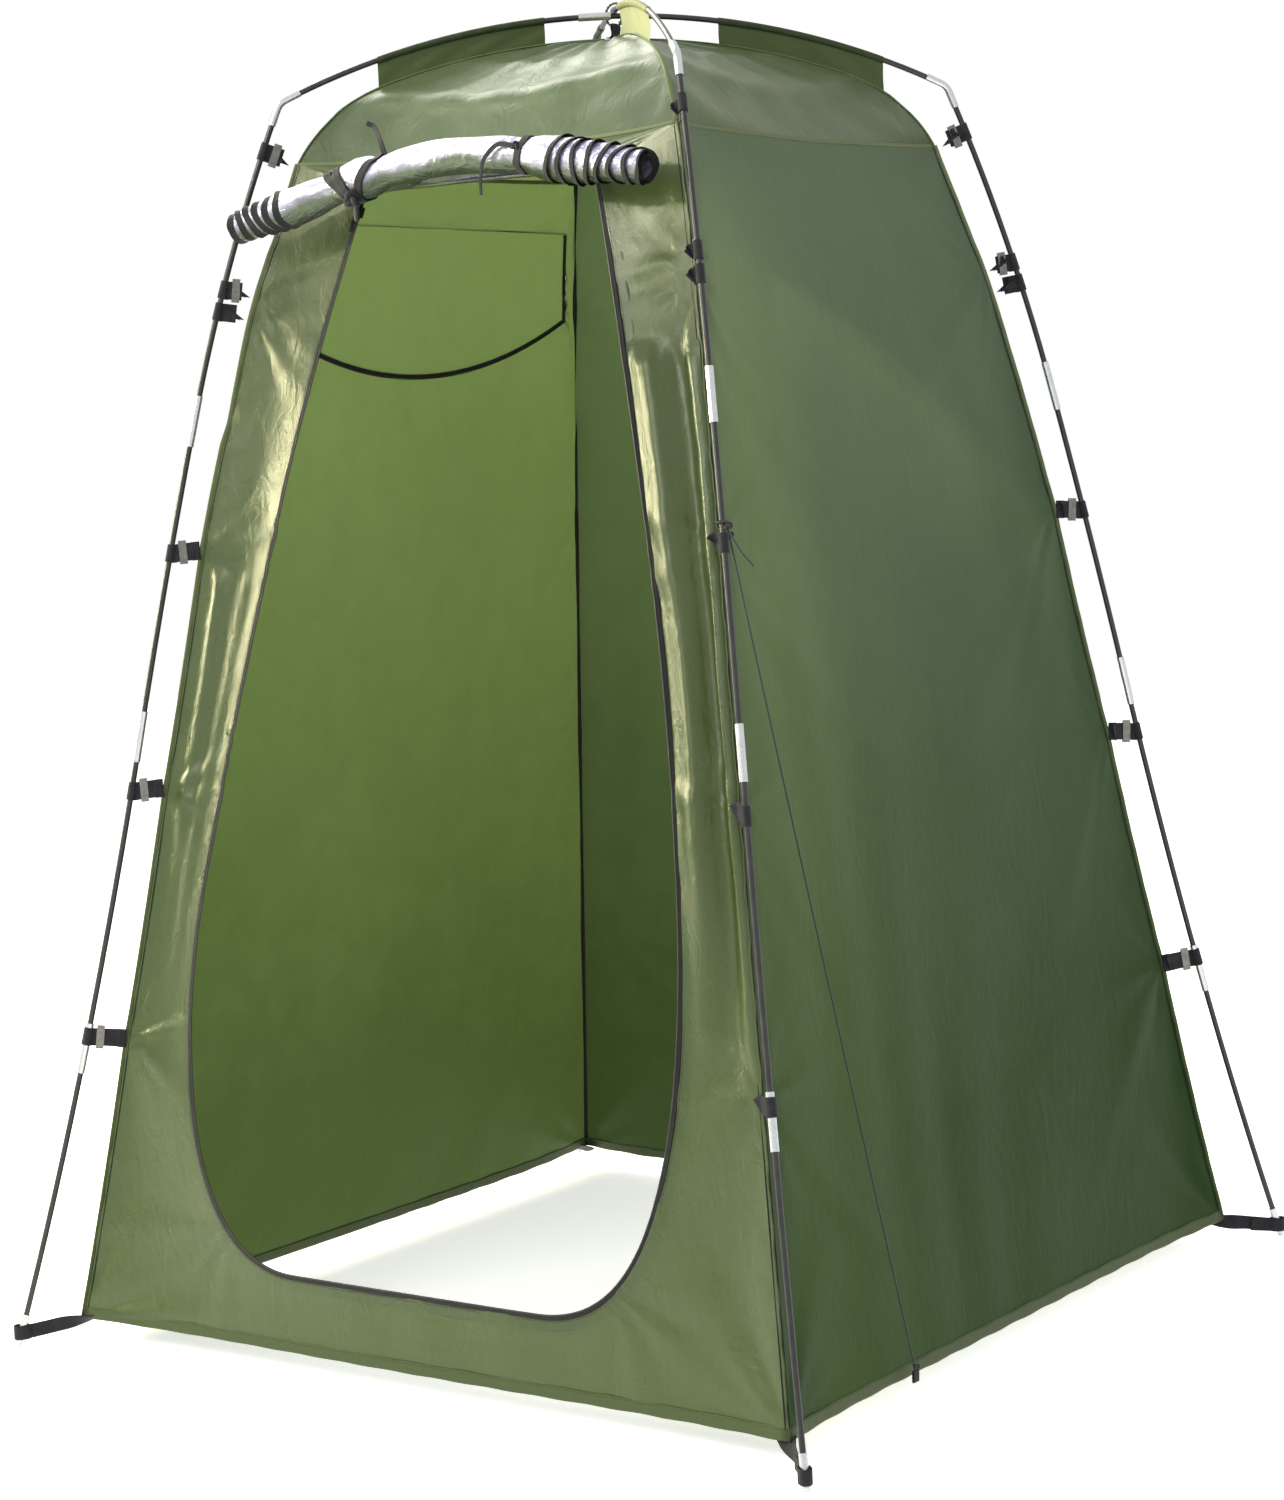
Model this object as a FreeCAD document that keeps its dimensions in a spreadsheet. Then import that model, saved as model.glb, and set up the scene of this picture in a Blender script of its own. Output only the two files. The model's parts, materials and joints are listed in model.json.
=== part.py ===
import FreeCAD, Part
import Sketcher
import math
import os

from FreeCAD import Placement, Rotation, Vector

# A square privacy tent. Two pole hoops stand on the diagonals and cross over the roof, and a cloth
# cabin hangs inside them on short webbing straps. The door faces -Y. The origin is on the ground
# at the middle of the four feet, +Z is up, and lengths are in millimetres.

X_AXIS = Vector(1, 0, 0)
Y_AXIS = Vector(0, 1, 0)
Z_AXIS = Vector(0, 0, 1)

# The direction of each leg's diagonal, in degrees from +X. Hoop one joins the front left leg to the
# back right one; hoop two passes over it.
LEG_DIRECTION = {"fl": 225.0, "fr": 315.0, "br": 45.0, "bl": 135.0}
HOOP = {"fl": "one", "br": "one", "fr": "two", "bl": "two"}
FAR_JOINT = {"br", "fr"}  # roof poles that run past the crossing to the hoop's middle joint

DIMENSIONS = [
    ("pole_radius", 4.0, "outside radius of the fibreglass poles"),
    ("pole_bore", 1.9, "radius of the hole through the poles"),
    ("shock_cord_radius", 1.25, "elastic cord inside the poles"),
    ("foot_reach", 942.0, "foot tip to the tent's axis, along the diagonal"),
    ("tip_radius", 5.5, "outside radius of the metal foot tip"),
    ("tip_length", 40.0, "foot tip's socket"),
    ("foot_section_length", 432.0, "lowest pole section"),
    ("section_length", 450.0, "the other leg sections"),
    ("lean_foot", 17.2, "pole's lean at the foot"),
    ("lean_low", 14.3, "lean at the lowest ferrule"),
    ("lean_middle", 12.0, "lean at the middle ferrule"),
    ("lean_high", 13.8, "lean at the highest ferrule"),
    ("lean_top", 22.2, "lean where the leg enters the elbow"),
    ("roof_rise_one", 25.4, "slope of hoop one where it leaves the elbow"),
    ("roof_rise_two", 27.4, "slope of hoop two where it leaves the elbow"),
    ("elbow_bend_radius", 22.0, "bend of the metal elbow's centreline"),
    ("elbow_arm", 24.0, "straight socket at each end of the elbow"),
    ("socket_radius", 5.5, "outside radius of elbows and ferrules"),
    ("socket_bore", 4.3, "bore of elbows, ferrules and foot tips"),
    ("ferrule_length", 72.0, "metal joining sleeve between two sections"),
    ("apex_joint_offset", 30.0, "middle joint of a hoop to the crossing"),
    ("apex_ferrule_length", 46.0, "joining sleeve near the crossing"),
    ("cloth", 1.0, "thickness that the cloth is modelled with"),
    ("hem_half_width", 602.0, "half of the cabin's width at the hem"),
    ("hem_height", 30.0, "hem above the ground"),
    ("wall_lean", 8.5, "lean of the straight part of the walls"),
    ("wall_run", 1115.0, "straight part of the walls, along the slope"),
    ("upper_wall_radius", 4000.0, "curve of the walls above the straight part"),
    ("upper_wall_lean", 16.0, "lean where the walls meet the shoulder"),
    ("shoulder_radius", 180.0, "curve of the shoulder"),
    ("shoulder_lean", 63.1, "lean where the shoulder meets the roof"),
    ("roof_seam_height", 1650.0, "seam between walls and roof"),
    ("hem_band", 16.0, "width of the hem binding"),
    ("hem_thickness", 1.4, "thickness of the hem binding"),
    ("strap_width", 25.0, "webbing of the wall straps"),
    ("strap_thickness", 1.6, "thickness of the wall straps"),
    ("strap_loop", 1.5, "thickness of the loop round the pole"),
    ("strap_slack", 0.5, "gap between strap loop and pole"),
    ("strap_seam_gap", 0.3, "gap between a strap's end and the cloth's corner"),
    ("buckle_length", 11.0, "strap buckle, along the strap"),
    ("buckle_height", 33.0, "strap buckle, across the strap"),
    ("buckle_thickness", 5.0, "strap buckle, through the strap"),
    ("buckle_gap", 0.3, "gap between buckle and strap, through the strap"),
    ("buckle_side_gap", 1.7, "gap between buckle and strap, across the strap"),
    ("buckle_reach", 12.0, "pole's axis to the buckle's near end"),
    ("foot_strap_width", 22.0, "webbing of the foot straps"),
    ("foot_strap_height", 19.0, "middle of the foot strap above the ground"),
    ("foot_loop_radius", 10.5, "inside radius of the foot strap's loop"),
    ("foot_strap_gap", 4.0, "gap between a foot strap's end and the hem's corner"),
    ("sleeve_length", 240.0, "roof sleeve, along the diagonal"),
    ("sleeve_cloth", 1.0, "thickness of the sleeve's cloth"),
    ("sleeve_slack", 0.6, "gap between the sleeve's tube and the pole"),
    ("sleeve_seam_gap", 2.0, "gap between the sleeve's fin and the roof"),
    ("door_top", 1600.0, "top edge of the doorway"),
    ("door_side_end", 690.0, "height where the straight sides end"),
    ("door_sill", 135.0, "height of the doorway's lower edge"),
    ("door_left_top", 193.0, "doorway's left side at the top"),
    ("door_left_low", 402.0, "doorway's left side at its straight end"),
    ("door_right_top", 206.0, "doorway's right side at the top"),
    ("door_right_low", 405.0, "doorway's right side at its straight end"),
    ("door_left_bow", 8.0, "outward bow of the left side"),
    ("door_right_bow", 26.0, "outward bow of the right side"),
    ("door_corner_drop", 305.0, "pull of the lower corners' curve along the side"),
    ("door_corner_run", 190.0, "pull of the lower corners' curve along the sill"),
    ("zip_width", 5.0, "zip tape and teeth beyond the cloth's edge"),
    ("zip_proud", 0.4, "zip above the cloth on each side"),
    ("window_level", 1395.0, "height of the window outline's own origin"),
    ("window_hinge", 180.0, "window's top edge above that origin"),
    ("window_shoulder", 42.0, "ends of the window's arc above that origin"),
    ("window_bottom", 45.0, "lowest point of the arc below that origin"),
    ("window_top_half", 322.0, "half of the window's top edge"),
    ("window_low_half", 352.0, "half of the chord of the window's arc"),
    ("flap_gap", 1.0, "gap round the window flap"),
    ("roll_radius", 27.0, "rolled-up door"),
    ("roll_clear", 0.3, "gap between the roll and its ties"),
    ("tie_width", 14.0, "webbing of the door ties"),
    ("tie_thickness", 1.6, "thickness of the door ties"),
    ("toggle_radius", 4.0, "barrel toggle of the door tie"),
    ("toggle_length", 20.0, "barrel toggle of the door tie"),
    ("toggle_gap", 1.6, "gap between the tie and its toggle"),
    ("slider_width", 11.0, "zip slider across the zip"),
    ("slider_length", 15.0, "zip slider along the zip"),
    ("slider_plate", 1.2, "thickness of a slider's plate"),
    ("slider_gap", 1.5, "gap between slider plates and zip"),
    ("slider_edge_gap", 0.6, "gap between the slider's web and the zip's free edge"),
    ("lug_width", 1.2, "each lug that holds the pull's bar"),
    ("lug_length", 2.4, "the lugs, along the zip"),
    ("lug_gap", 0.4, "gap between a lug and the pull tab's eye"),
    ("pull_length", 30.0, "pull tab below its eye"),
    ("pull_width", 5.0, "width of the pull tab"),
    ("pull_thickness", 1.2, "thickness of the pull tab"),
    ("pull_bar_radius", 0.8, "bar that carries the pull tab"),
    ("pull_eye_radius", 2.3, "outside radius of the pull tab's eye"),
    ("pull_eye_bore", 1.1, "bore of the pull tab's eye"),
    ("pull_bar_height", 4.0, "bar above the slider's plate"),
    ("slider_park", 28.0, "parked door slider below the doorway's top edge"),
    ("slider_travel", 200.0, "height that the door slider travels"),
    ("window_slider_park", 1.3, "parked window slider before the arc's end, in degrees"),
    ("guy_radius", 1.25, "guy line"),
    ("guy_ring_radius", 7.2, "ring on the pole, to the middle of its wire"),
    ("guy_ring_wire", 1.6, "radius of the ring's wire"),
    ("guy_ring_height", 1140.0, "height of the ring on the front right pole"),
    ("guy_tab_width", 14.0, "webbing tab on the hem, along the hem"),
    ("guy_tab_height", 18.0, "height of the hem tab"),
    ("guy_tab_thickness", 3.0, "thickness of the hem tab"),
    ("guy_tab_cover", 1.0, "hem tab above the guy line's lower end"),
    ("tie_ring_drop", 2.5, "middle of the cord loop below the crossing's middle"),
    ("tie_ring_radius", 16.0, "cord loop round the crossing"),
    ("tie_ring_cord", 1.5, "radius of that loop's cord"),
    ("crown_gap", 0.3, "gap between the roof and its tab"),
    ("tab_width", 18.0, "webbing tab on top of the roof"),
    ("tab_height", 26.0, "height of the roof tab"),
    ("tab_hole", 3.2, "hole through the roof tab"),
]

# Height of each strap on the pole, and on the cabin's corner seam.
STRAP_HEIGHTS = [(1668, 1650), (1479, 1474), (1449, 1443), (1115, 1117), (783, 785), (438, 431)]
PLAIN_STRAP = 2  # this strap has no buckle
FERRULE_STRAP = 5  # this strap's loop goes round the pole's lowest ferrule
for number, (on_pole, on_seam) in enumerate(STRAP_HEIGHTS):
    DIMENSIONS.append((f"strap_pole_height_{number}", float(on_pole), "strap at the pole"))
    DIMENSIONS.append((f"strap_seam_height_{number}", float(on_seam), "strap at the seam"))

# Where each roof sleeve starts, from the tent's axis.
for leg, start in {"fl": 100, "fr": 40, "br": 147, "bl": 125}.items():
    DIMENSIONS.append((f"sleeve_start_{leg}", float(start), "sleeve's upper end to the axis"))

# The middle line of the rolled-up door: left end, middle and right end.
ROLL_LINE = [Vector(-362, -416, 1560), Vector(-20, -386, 1629), Vector(325, -382, 1592)]
TIE_PLACES = {"left": 0.30, "right": 0.715}  # along the roll, as a share of its length

# The guy line's route from the ring on the pole to the tab on the hem, with its slight sag.
GUY_ROUTE = [Vector(471.5, -464.5, 1139), Vector(537.5, -389, 590), Vector(605.9, -311, 45)]

# Half sizes of the blocks that cut the cloth, all larger than the tent.
BEYOND_WIDTH = 800.0
BEYOND_HEIGHT = 2000.0
WALL_CUT = 30.0  # to each side of a wall's own plane
DOOR_CUT = 150.0  # how far the doorway's block reaches in past the middle of that half

doc = FreeCAD.newDocument("PrivacyShowerTent")
sheet = doc.addObject("Spreadsheet::Sheet", "Dimensions")
for row, (alias, value, note) in enumerate(DIMENSIONS, start=1):
    sheet.set(f"A{row}", note)
    sheet.set(f"B{row}", str(value))
    sheet.setAlias(f"B{row}", alias)
doc.recompute()

NODES = []


def size(alias):
    return float(sheet.get(alias))


def bind(thing, **expressions):
    """Bind properties to the sheet. A bare alias stands for its cell."""
    for name, expression in expressions.items():
        thing.setExpression(name, expression.replace("#", "Dimensions."))


def primitive(kind, name, **expressions):
    thing = doc.addObject(kind, name)
    bind(thing, **expressions)
    return thing


def boolean(kind, name, base, tool):
    thing = doc.addObject(kind, name)
    thing.Base = base
    thing.Tool = tool
    return thing


def union(name, parts):
    thing = doc.addObject("Part::MultiFuse", name)
    thing.Shapes = parts
    return thing


def group(name, parts):
    thing = doc.addObject("Part::Compound", name)
    thing.Links = parts
    return thing


def node(thing, label):
    thing.Label = label
    NODES.append(thing)
    return thing


def computed(label, shape):
    """A sub-part whose shape is worked out from the sheet by this script."""
    thing = doc.addObject("Part::Feature", label)
    thing.Shape = shape
    thing.Placement = shape.Placement
    return node(thing, label)


# ---------------------------------------------------------------- curves in an upright plane


class Arc:
    """An arc in an upright plane, followed upwards: reach is across, and lean is from the vertical."""

    def __init__(self, start, lean_from, lean_to, radius):
        side = 1 if lean_to > lean_from else -1
        self.radius = radius
        self.centre = (
            start[0] - side * radius * math.cos(math.radians(lean_from)),
            start[1] - side * radius * math.sin(math.radians(lean_from)),
        )
        self.side = side
        self.leans = (lean_from, lean_to)
        self.end = self.at(lean_to)
        self.first = lean_from if side > 0 else lean_to + 180
        self.sweep = abs(lean_to - lean_from)

    def at(self, lean, offset=0.0):
        """The point with that lean, moved outwards by offset."""
        reach = self.side * (self.radius + self.side * offset)
        return (
            self.centre[0] + reach * math.cos(math.radians(lean)),
            self.centre[1] + reach * math.sin(math.radians(lean)),
        )

    def lean_at_height(self, height):
        return math.degrees(math.asin((height - self.centre[1]) / (self.side * self.radius)))


def bend_of(length, lean_from, lean_to):
    return length / math.radians(abs(lean_to - lean_from))


def leg_line(hoop):
    """The arcs of a leg's middle line, from the foot tip to the crossing."""
    leans = [size(f"lean_{place}") for place in ("foot", "low", "middle", "high", "top")]
    lengths = [size("foot_section_length")] + [size("section_length")] * 3
    point = (size("foot_reach"), size("tip_radius"))
    arcs = []
    for lean_from, lean_to, length in zip(leans, leans[1:], lengths):
        arcs.append(Arc(point, lean_from, lean_to, bend_of(length, lean_from, lean_to)))
        point = arcs[-1].end
    rise = size(f"roof_rise_{hoop}")
    arcs.append(Arc(point, leans[-1], 90 - rise, size("elbow_bend_radius")))
    point = arcs[-1].end
    arcs.append(Arc(point, 90 - rise, 90, point[0] / math.sin(math.radians(rise))))
    return arcs


LEG_LINES = {hoop: leg_line(hoop) for hoop in ("one", "two")}


def pole_at_height(height, hoop):
    """The pole's (reach, lean) at a height, on a leg."""
    for arc in LEG_LINES[hoop][:4]:
        if height <= arc.end[1]:
            lean = arc.lean_at_height(height)
            return arc.at(lean)[0], lean
    raise ValueError("the height is above the leg")


def cabin_line():
    """The cabin's outline in section: the straight wall's ends, and the arcs above it."""
    lean = size("wall_lean")
    foot = (size("hem_half_width"), size("hem_height"))
    run = size("wall_run")
    top = (
        foot[0] - run * math.sin(math.radians(lean)),
        foot[1] + run * math.cos(math.radians(lean)),
    )
    upper = Arc(top, lean, size("upper_wall_lean"), size("upper_wall_radius"))
    shoulder = Arc(upper.end, size("upper_wall_lean"), size("shoulder_lean"), size("shoulder_radius"))
    flat = math.radians(size("shoulder_lean"))
    roof = Arc(shoulder.end, size("shoulder_lean"), 90, shoulder.end[0] / math.cos(flat))
    return foot, top, [upper, shoulder, roof]


CABIN_FOOT, CABIN_KNEE, CABIN_ARCS = cabin_line()


def cabin_half_width(height):
    if height <= CABIN_KNEE[1]:
        share = (height - CABIN_FOOT[1]) / (CABIN_KNEE[1] - CABIN_FOOT[1])
        return CABIN_FOOT[0] + share * (CABIN_KNEE[0] - CABIN_FOOT[0])
    for arc in CABIN_ARCS:
        if height <= arc.end[1] + 1e-6:
            return arc.at(arc.lean_at_height(height))[0]
    raise ValueError("the height is above the roof")


def seam_reach(height):
    """The corner seam's distance from the axis, along the diagonal."""
    return math.sqrt(2) * cabin_half_width(height)


# ---------------------------------------------------------------- places on a leg


def leg_place(leg, reach, height, tip=0.0):
    """A place in a leg's upright plane: X points outwards and Z up, tipped inwards by an angle."""
    turn = Rotation(Z_AXIS, LEG_DIRECTION[leg])
    base = turn.multVec(Vector(reach, 0, height))
    return Placement(base, turn.multiply(Rotation(Y_AXIS, -tip)))


def ring_place(leg, arc, first):
    """The place of a torus that follows an arc of a leg's line, starting at an angle."""
    turn = Rotation(Z_AXIS, LEG_DIRECTION[leg])
    base = turn.multVec(Vector(arc.centre[0], 0, arc.centre[1]))
    upright = turn.multiply(Rotation(X_AXIS, 90)).multiply(Rotation(Z_AXIS, first))
    return Placement(base, upright)


def bent_rod(name, leg, arc, first, bend, radius, sweep):
    rod = primitive("Part::Torus", name, Radius1=bend, Radius2=radius, Angle3=sweep)
    rod.Placement = ring_place(leg, arc, first)
    return rod


def bent_tube(name, leg, arc, first, bend, outside, bore, sweep):
    outer = bent_rod(f"{name}_outside", leg, arc, first, bend, outside, sweep)
    inner = bent_rod(f"{name}_bore", leg, arc, first, bend, bore, sweep)
    return boolean("Part::Cut", name, outer, inner)


def straight_tube(name, place, outside, bore, length):
    outer = primitive("Part::Cylinder", f"{name}_outside", Radius=outside, Height=length)
    inner = primitive("Part::Cylinder", f"{name}_bore", Radius=bore, Height=length)
    outer.Placement = place
    inner.Placement = place
    return boolean("Part::Cut", name, outer, inner)


# ---------------------------------------------------------------- poles

LEAN_NAMES = ("foot", "low", "middle", "high", "top")


def section_bend(index):
    length = "#foot_section_length" if index == 0 else "#section_length"
    low, high = LEAN_NAMES[index], LEAN_NAMES[index + 1]
    return f"{length} / (abs(#lean_{high} - #lean_{low}) * pi / 180)"


def section_sweep(index):
    return f"abs(#lean_{LEAN_NAMES[index + 1]} - #lean_{LEAN_NAMES[index]})"


def roof_bend(leg):
    return str(LEG_LINES[HOOP[leg]][5].radius)


def joint_angle(leg):
    """How far a roof pole stops short of the crossing, or runs past it, in degrees."""
    angle = math.degrees(size("apex_joint_offset") / LEG_LINES[HOOP[leg]][5].radius)
    return -angle if leg in FAR_JOINT else angle


def make_poles(leg):
    arcs = LEG_LINES[HOOP[leg]]
    for index in range(4):
        name = f"pole_{leg}_{index + 1}"
        arc = arcs[index]
        tube = bent_tube(
            name, leg, arc, arc.first, section_bend(index), "#pole_radius", "#pole_bore",
            section_sweep(index),
        )
        node(tube, name)
    roof = arcs[5]
    name = f"roof_pole_{leg}"
    sweep = f"#roof_rise_{HOOP[leg]} - ({joint_angle(leg)})"
    tube = bent_tube(
        name, leg, roof, roof.first, roof_bend(leg), "#pole_radius", "#pole_bore", sweep
    )
    node(tube, name)


def make_ferrules(leg):
    sleeves = []
    for index in range(3):
        arc = LEG_LINES[HOOP[leg]][index]
        lean = arc.leans[1]
        half = size("ferrule_length") / 2
        low = (
            arc.end[0] + half * math.sin(math.radians(lean)),
            arc.end[1] - half * math.cos(math.radians(lean)),
        )
        place = leg_place(leg, low[0], low[1], lean)
        sleeves.append(
            straight_tube(
                f"ferrule_{leg}_{index}", place, "#socket_radius", "#socket_bore",
                "#ferrule_length",
            )
        )
    node(group(f"ferrules_{leg}", sleeves), f"ferrules_{leg}")


def make_apex_ferrules():
    sleeves = []
    for leg in ("fl", "bl"):
        roof = LEG_LINES[HOOP[leg]][5]
        half = math.degrees(size("apex_ferrule_length") / 2 / roof.radius)
        first = 90 - joint_angle(leg) - half
        sweep = f"#apex_ferrule_length / {roof_bend(leg)} * 180 / pi"
        sleeves.append(
            bent_tube(
                f"apex_ferrule_{leg}", leg, roof, first, roof_bend(leg), "#socket_radius",
                "#pole_radius + 0.05", sweep,
            )
        )
    node(group("apex_ferrules", sleeves), "apex_ferrules")


def make_elbow(leg):
    leg_top, bend = LEG_LINES[HOOP[leg]][3:5]
    sweep = f"90 - #roof_rise_{HOOP[leg]} - #lean_top"
    halves = {}
    for part, radius in (("outside", "#socket_radius"), ("bore", "#socket_bore")):
        name = f"elbow_{leg}_{part}"
        low = primitive("Part::Cylinder", f"{name}_low", Radius=radius, Height="#elbow_arm")
        lean = leg_top.leans[1]
        low.Placement = leg_place(leg, leg_top.end[0], leg_top.end[1], lean + 180)
        high = primitive("Part::Cylinder", f"{name}_high", Radius=radius, Height="#elbow_arm")
        high.Placement = leg_place(leg, bend.end[0], bend.end[1], bend.leans[1])
        middle = bent_rod(
            f"{name}_bend", leg, bend, bend.first, "#elbow_bend_radius", radius, sweep
        )
        halves[part] = union(name, [low, middle, high])
    return boolean("Part::Cut", f"elbow_{leg}", halves["outside"], halves["bore"])


def make_shock_cord(hoop):
    parts = []
    for leg in [name for name in LEG_DIRECTION if HOOP[name] == hoop]:
        arcs = LEG_LINES[hoop]
        bends = [section_bend(index) for index in range(4)]
        bends += ["#elbow_bend_radius", roof_bend(leg)]
        sweeps = [section_sweep(index) for index in range(4)]
        sweeps += [f"90 - #roof_rise_{hoop} - #lean_top", f"#roof_rise_{hoop}"]
        for index, arc in enumerate(arcs):
            parts.append(
                bent_rod(
                    f"shock_{leg}_{index}", leg, arc, arc.first, bends[index],
                    "#shock_cord_radius", sweeps[index],
                )
            )
    node(union(f"shock_cord_{hoop}", parts), f"shock_cord_{hoop}")


# ---------------------------------------------------------------- bodies made from sketches


def origin_plane(body, role):
    return next(item for item in body.Origin.OriginFeatures if item.Role == role)


def sketch_on(body, name, role):
    sketch = body.newObject("Sketcher::SketchObject", name)
    sketch.AttachmentSupport = (origin_plane(body, role), [""])
    sketch.MapMode = "FlatFace"
    return sketch


def centred_box(sketch, half_across, half_up):
    """A rectangle about the origin, whose half sizes are expressions."""
    corners = [Vector(-1, -1, 0), Vector(1, -1, 0), Vector(1, 1, 0), Vector(-1, 1, 0)]
    first = sketch.GeometryCount
    for start, end in zip(corners, corners[1:] + corners[:1]):
        sketch.addGeometry(Part.LineSegment(start, end), False)
    for side in range(4):
        after = (side + 1) % 4
        sketch.addConstraint(Sketcher.Constraint("Coincident", first + side, 2, first + after, 1))
    for side in (0, 2):
        sketch.addConstraint(Sketcher.Constraint("Horizontal", first + side))
        sketch.addConstraint(Sketcher.Constraint("Vertical", first + side + 1))
    sketch.addConstraint(Sketcher.Constraint("Symmetric", first, 1, first + 2, 1, -1, 1))
    for kind, side, expression in (("X", 0, half_across), ("Y", 1, half_up)):
        number = sketch.addConstraint(
            Sketcher.Constraint(f"Distance{kind}", first + side, 1, first + side, 2, 2.0)
        )
        sketch.setExpression(f"Constraints[{number}]", f"2 * ({expression})".replace("#", "Dimensions."))


def circle_on(sketch, radius):
    first = sketch.GeometryCount
    sketch.addGeometry(Part.Circle(Vector(0, 0, 0), Z_AXIS, 2.0), False)
    sketch.addConstraint(Sketcher.Constraint("Coincident", first, 3, -1, 1))
    number = sketch.addConstraint(Sketcher.Constraint("Radius", first, 2.0))
    sketch.setExpression(f"Constraints[{number}]", radius.replace("#", "Dimensions."))


def pad(body, sketch, name, length, both_ways=False):
    feature = body.newObject("PartDesign::Pad", name)
    feature.Profile = sketch
    feature.Midplane = both_ways
    bind(feature, Length=length)
    return feature


def new_body(name):
    return doc.addObject("PartDesign::Body", name)


def make_buckle(name):
    """A flat loop that the strap runs through along X."""
    body = new_body(name)
    outline = sketch_on(body, f"{name}_outline", "YZ_Plane")
    centred_box(outline, "#buckle_thickness / 2", "#buckle_height / 2")
    centred_box(
        outline, "#strap_thickness / 2 + #buckle_gap", "#strap_width / 2 + #buckle_side_gap"
    )
    pad(body, outline, f"{name}_loop", "#buckle_length")
    return body


# ---------------------------------------------------------------- straps and feet


def strap_line(leg, number):
    """A strap's end on the pole, the pole's lean there, the strap's end on the seam, and its slope."""
    on_pole = size(f"strap_pole_height_{number}")
    on_seam = size(f"strap_seam_height_{number}")
    reach, lean = pole_at_height(on_pole, HOOP[leg])
    slope = math.atan2(on_pole - on_seam, reach - seam_reach(on_seam))
    corners = []
    for half in (-size("strap_width") / 2, size("strap_width") / 2):
        seam = seam_reach(on_seam + half * math.cos(slope))
        corners.append(seam + half * math.sin(slope))
    end = Vector(max(corners) + size("strap_seam_gap"), 0, on_seam)
    pole = Vector(reach, 0, on_pole)
    return pole, lean, end, math.degrees(math.atan2(pole.z - end.z, pole.x - end.x))


def make_strap(leg, number):
    name = f"strap_{leg}_{number}"
    pole, lean, seam, slope = strap_line(leg, number)
    inside = "#socket_radius" if number == FERRULE_STRAP else "#pole_radius"
    band = primitive(
        "Part::Box", f"{name}_band", Width="#strap_thickness", Height="#strap_width",
        Length=str((pole - seam).Length),
    )
    corner = Placement(Vector(0, -size("strap_thickness") / 2, -size("strap_width") / 2), Rotation())
    band.Placement = leg_place(leg, seam.x, seam.z, slope).multiply(corner)
    along_pole = leg_place(leg, pole.x, pole.z, lean)
    loop = primitive(
        "Part::Cylinder", f"{name}_loop", Height="#strap_width",
        Radius=f"{inside} + #strap_slack + #strap_loop",
    )
    loop.Placement = along_pole.multiply(
        Placement(Vector(0, 0, -size("strap_width") / 2), Rotation())
    )
    room = primitive(
        "Part::Cylinder", f"{name}_room", Height="3 * #strap_width",
        Radius=f"{inside} + #strap_slack",
    )
    room.Placement = along_pole.multiply(
        Placement(Vector(0, 0, -1.5 * size("strap_width")), Rotation())
    )
    return boolean("Part::Cut", name, union(f"{name}_whole", [band, loop]), room)


def make_straps(leg):
    straps = [make_strap(leg, number) for number in range(len(STRAP_HEIGHTS))]
    node(group(f"straps_{leg}", straps), f"straps_{leg}")
    buckles = []
    for number in range(len(STRAP_HEIGHTS)):
        if number != PLAIN_STRAP:
            pole, _, seam, slope = strap_line(leg, number)
            away = size("buckle_reach") + size("buckle_length")
            inward = (seam - pole).normalize().multiply(away)
            buckle = make_buckle(f"buckle_{leg}_{number}")
            buckle.Placement = leg_place(leg, pole.x + inward.x, pole.z + inward.z, slope)
            buckles.append(buckle)
    node(group(f"buckles_{leg}", buckles), f"buckles_{leg}")


def make_foot_tip(leg):
    lean = size("lean_foot")
    place = leg_place(leg, size("foot_reach"), size("tip_radius"), lean)
    ball = primitive("Part::Sphere", f"tip_{leg}_end", Radius="#tip_radius")
    ball.Angle2 = 0
    wall = primitive("Part::Cylinder", f"tip_{leg}_wall", Radius="#tip_radius", Height="#tip_length")
    room = primitive("Part::Cylinder", f"tip_{leg}_room", Radius="#socket_bore", Height="#tip_length")
    for piece in (ball, wall, room):
        piece.Placement = place
    return boolean("Part::Cut", f"tip_{leg}", union(f"tip_{leg}_whole", [ball, wall]), room)


def make_foot_strap(leg):
    """Webbing from the cabin's lower corner to a loose loop round the foot tip."""
    height = size("foot_strap_height")
    lean = math.radians(size("lean_foot"))
    reach = size("foot_reach") - (height - size("tip_radius")) * math.tan(lean)
    start = seam_reach(size("hem_height")) + size("foot_strap_gap")
    low = height - size("foot_strap_width") / 2
    band = primitive(
        "Part::Box", f"foot_strap_{leg}_band", Width="#strap_thickness",
        Height="#foot_strap_width", Length=str(reach - start),
    )
    band.Placement = leg_place(leg, start, low).multiply(
        Placement(Vector(0, -size("strap_thickness") / 2, 0), Rotation())
    )
    loop = primitive(
        "Part::Cylinder", f"foot_strap_{leg}_loop", Height="#foot_strap_width",
        Radius="#foot_loop_radius + #strap_loop",
    )
    room = primitive(
        "Part::Cylinder", f"foot_strap_{leg}_room", Height="#foot_strap_width",
        Radius="#foot_loop_radius",
    )
    for piece in (loop, room):
        piece.Placement = leg_place(leg, reach, low)
    whole = union(f"foot_strap_{leg}_whole", [band, loop])
    return boolean("Part::Cut", f"foot_strap_{leg}", whole, room)


# ---------------------------------------------------------------- cloth


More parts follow.
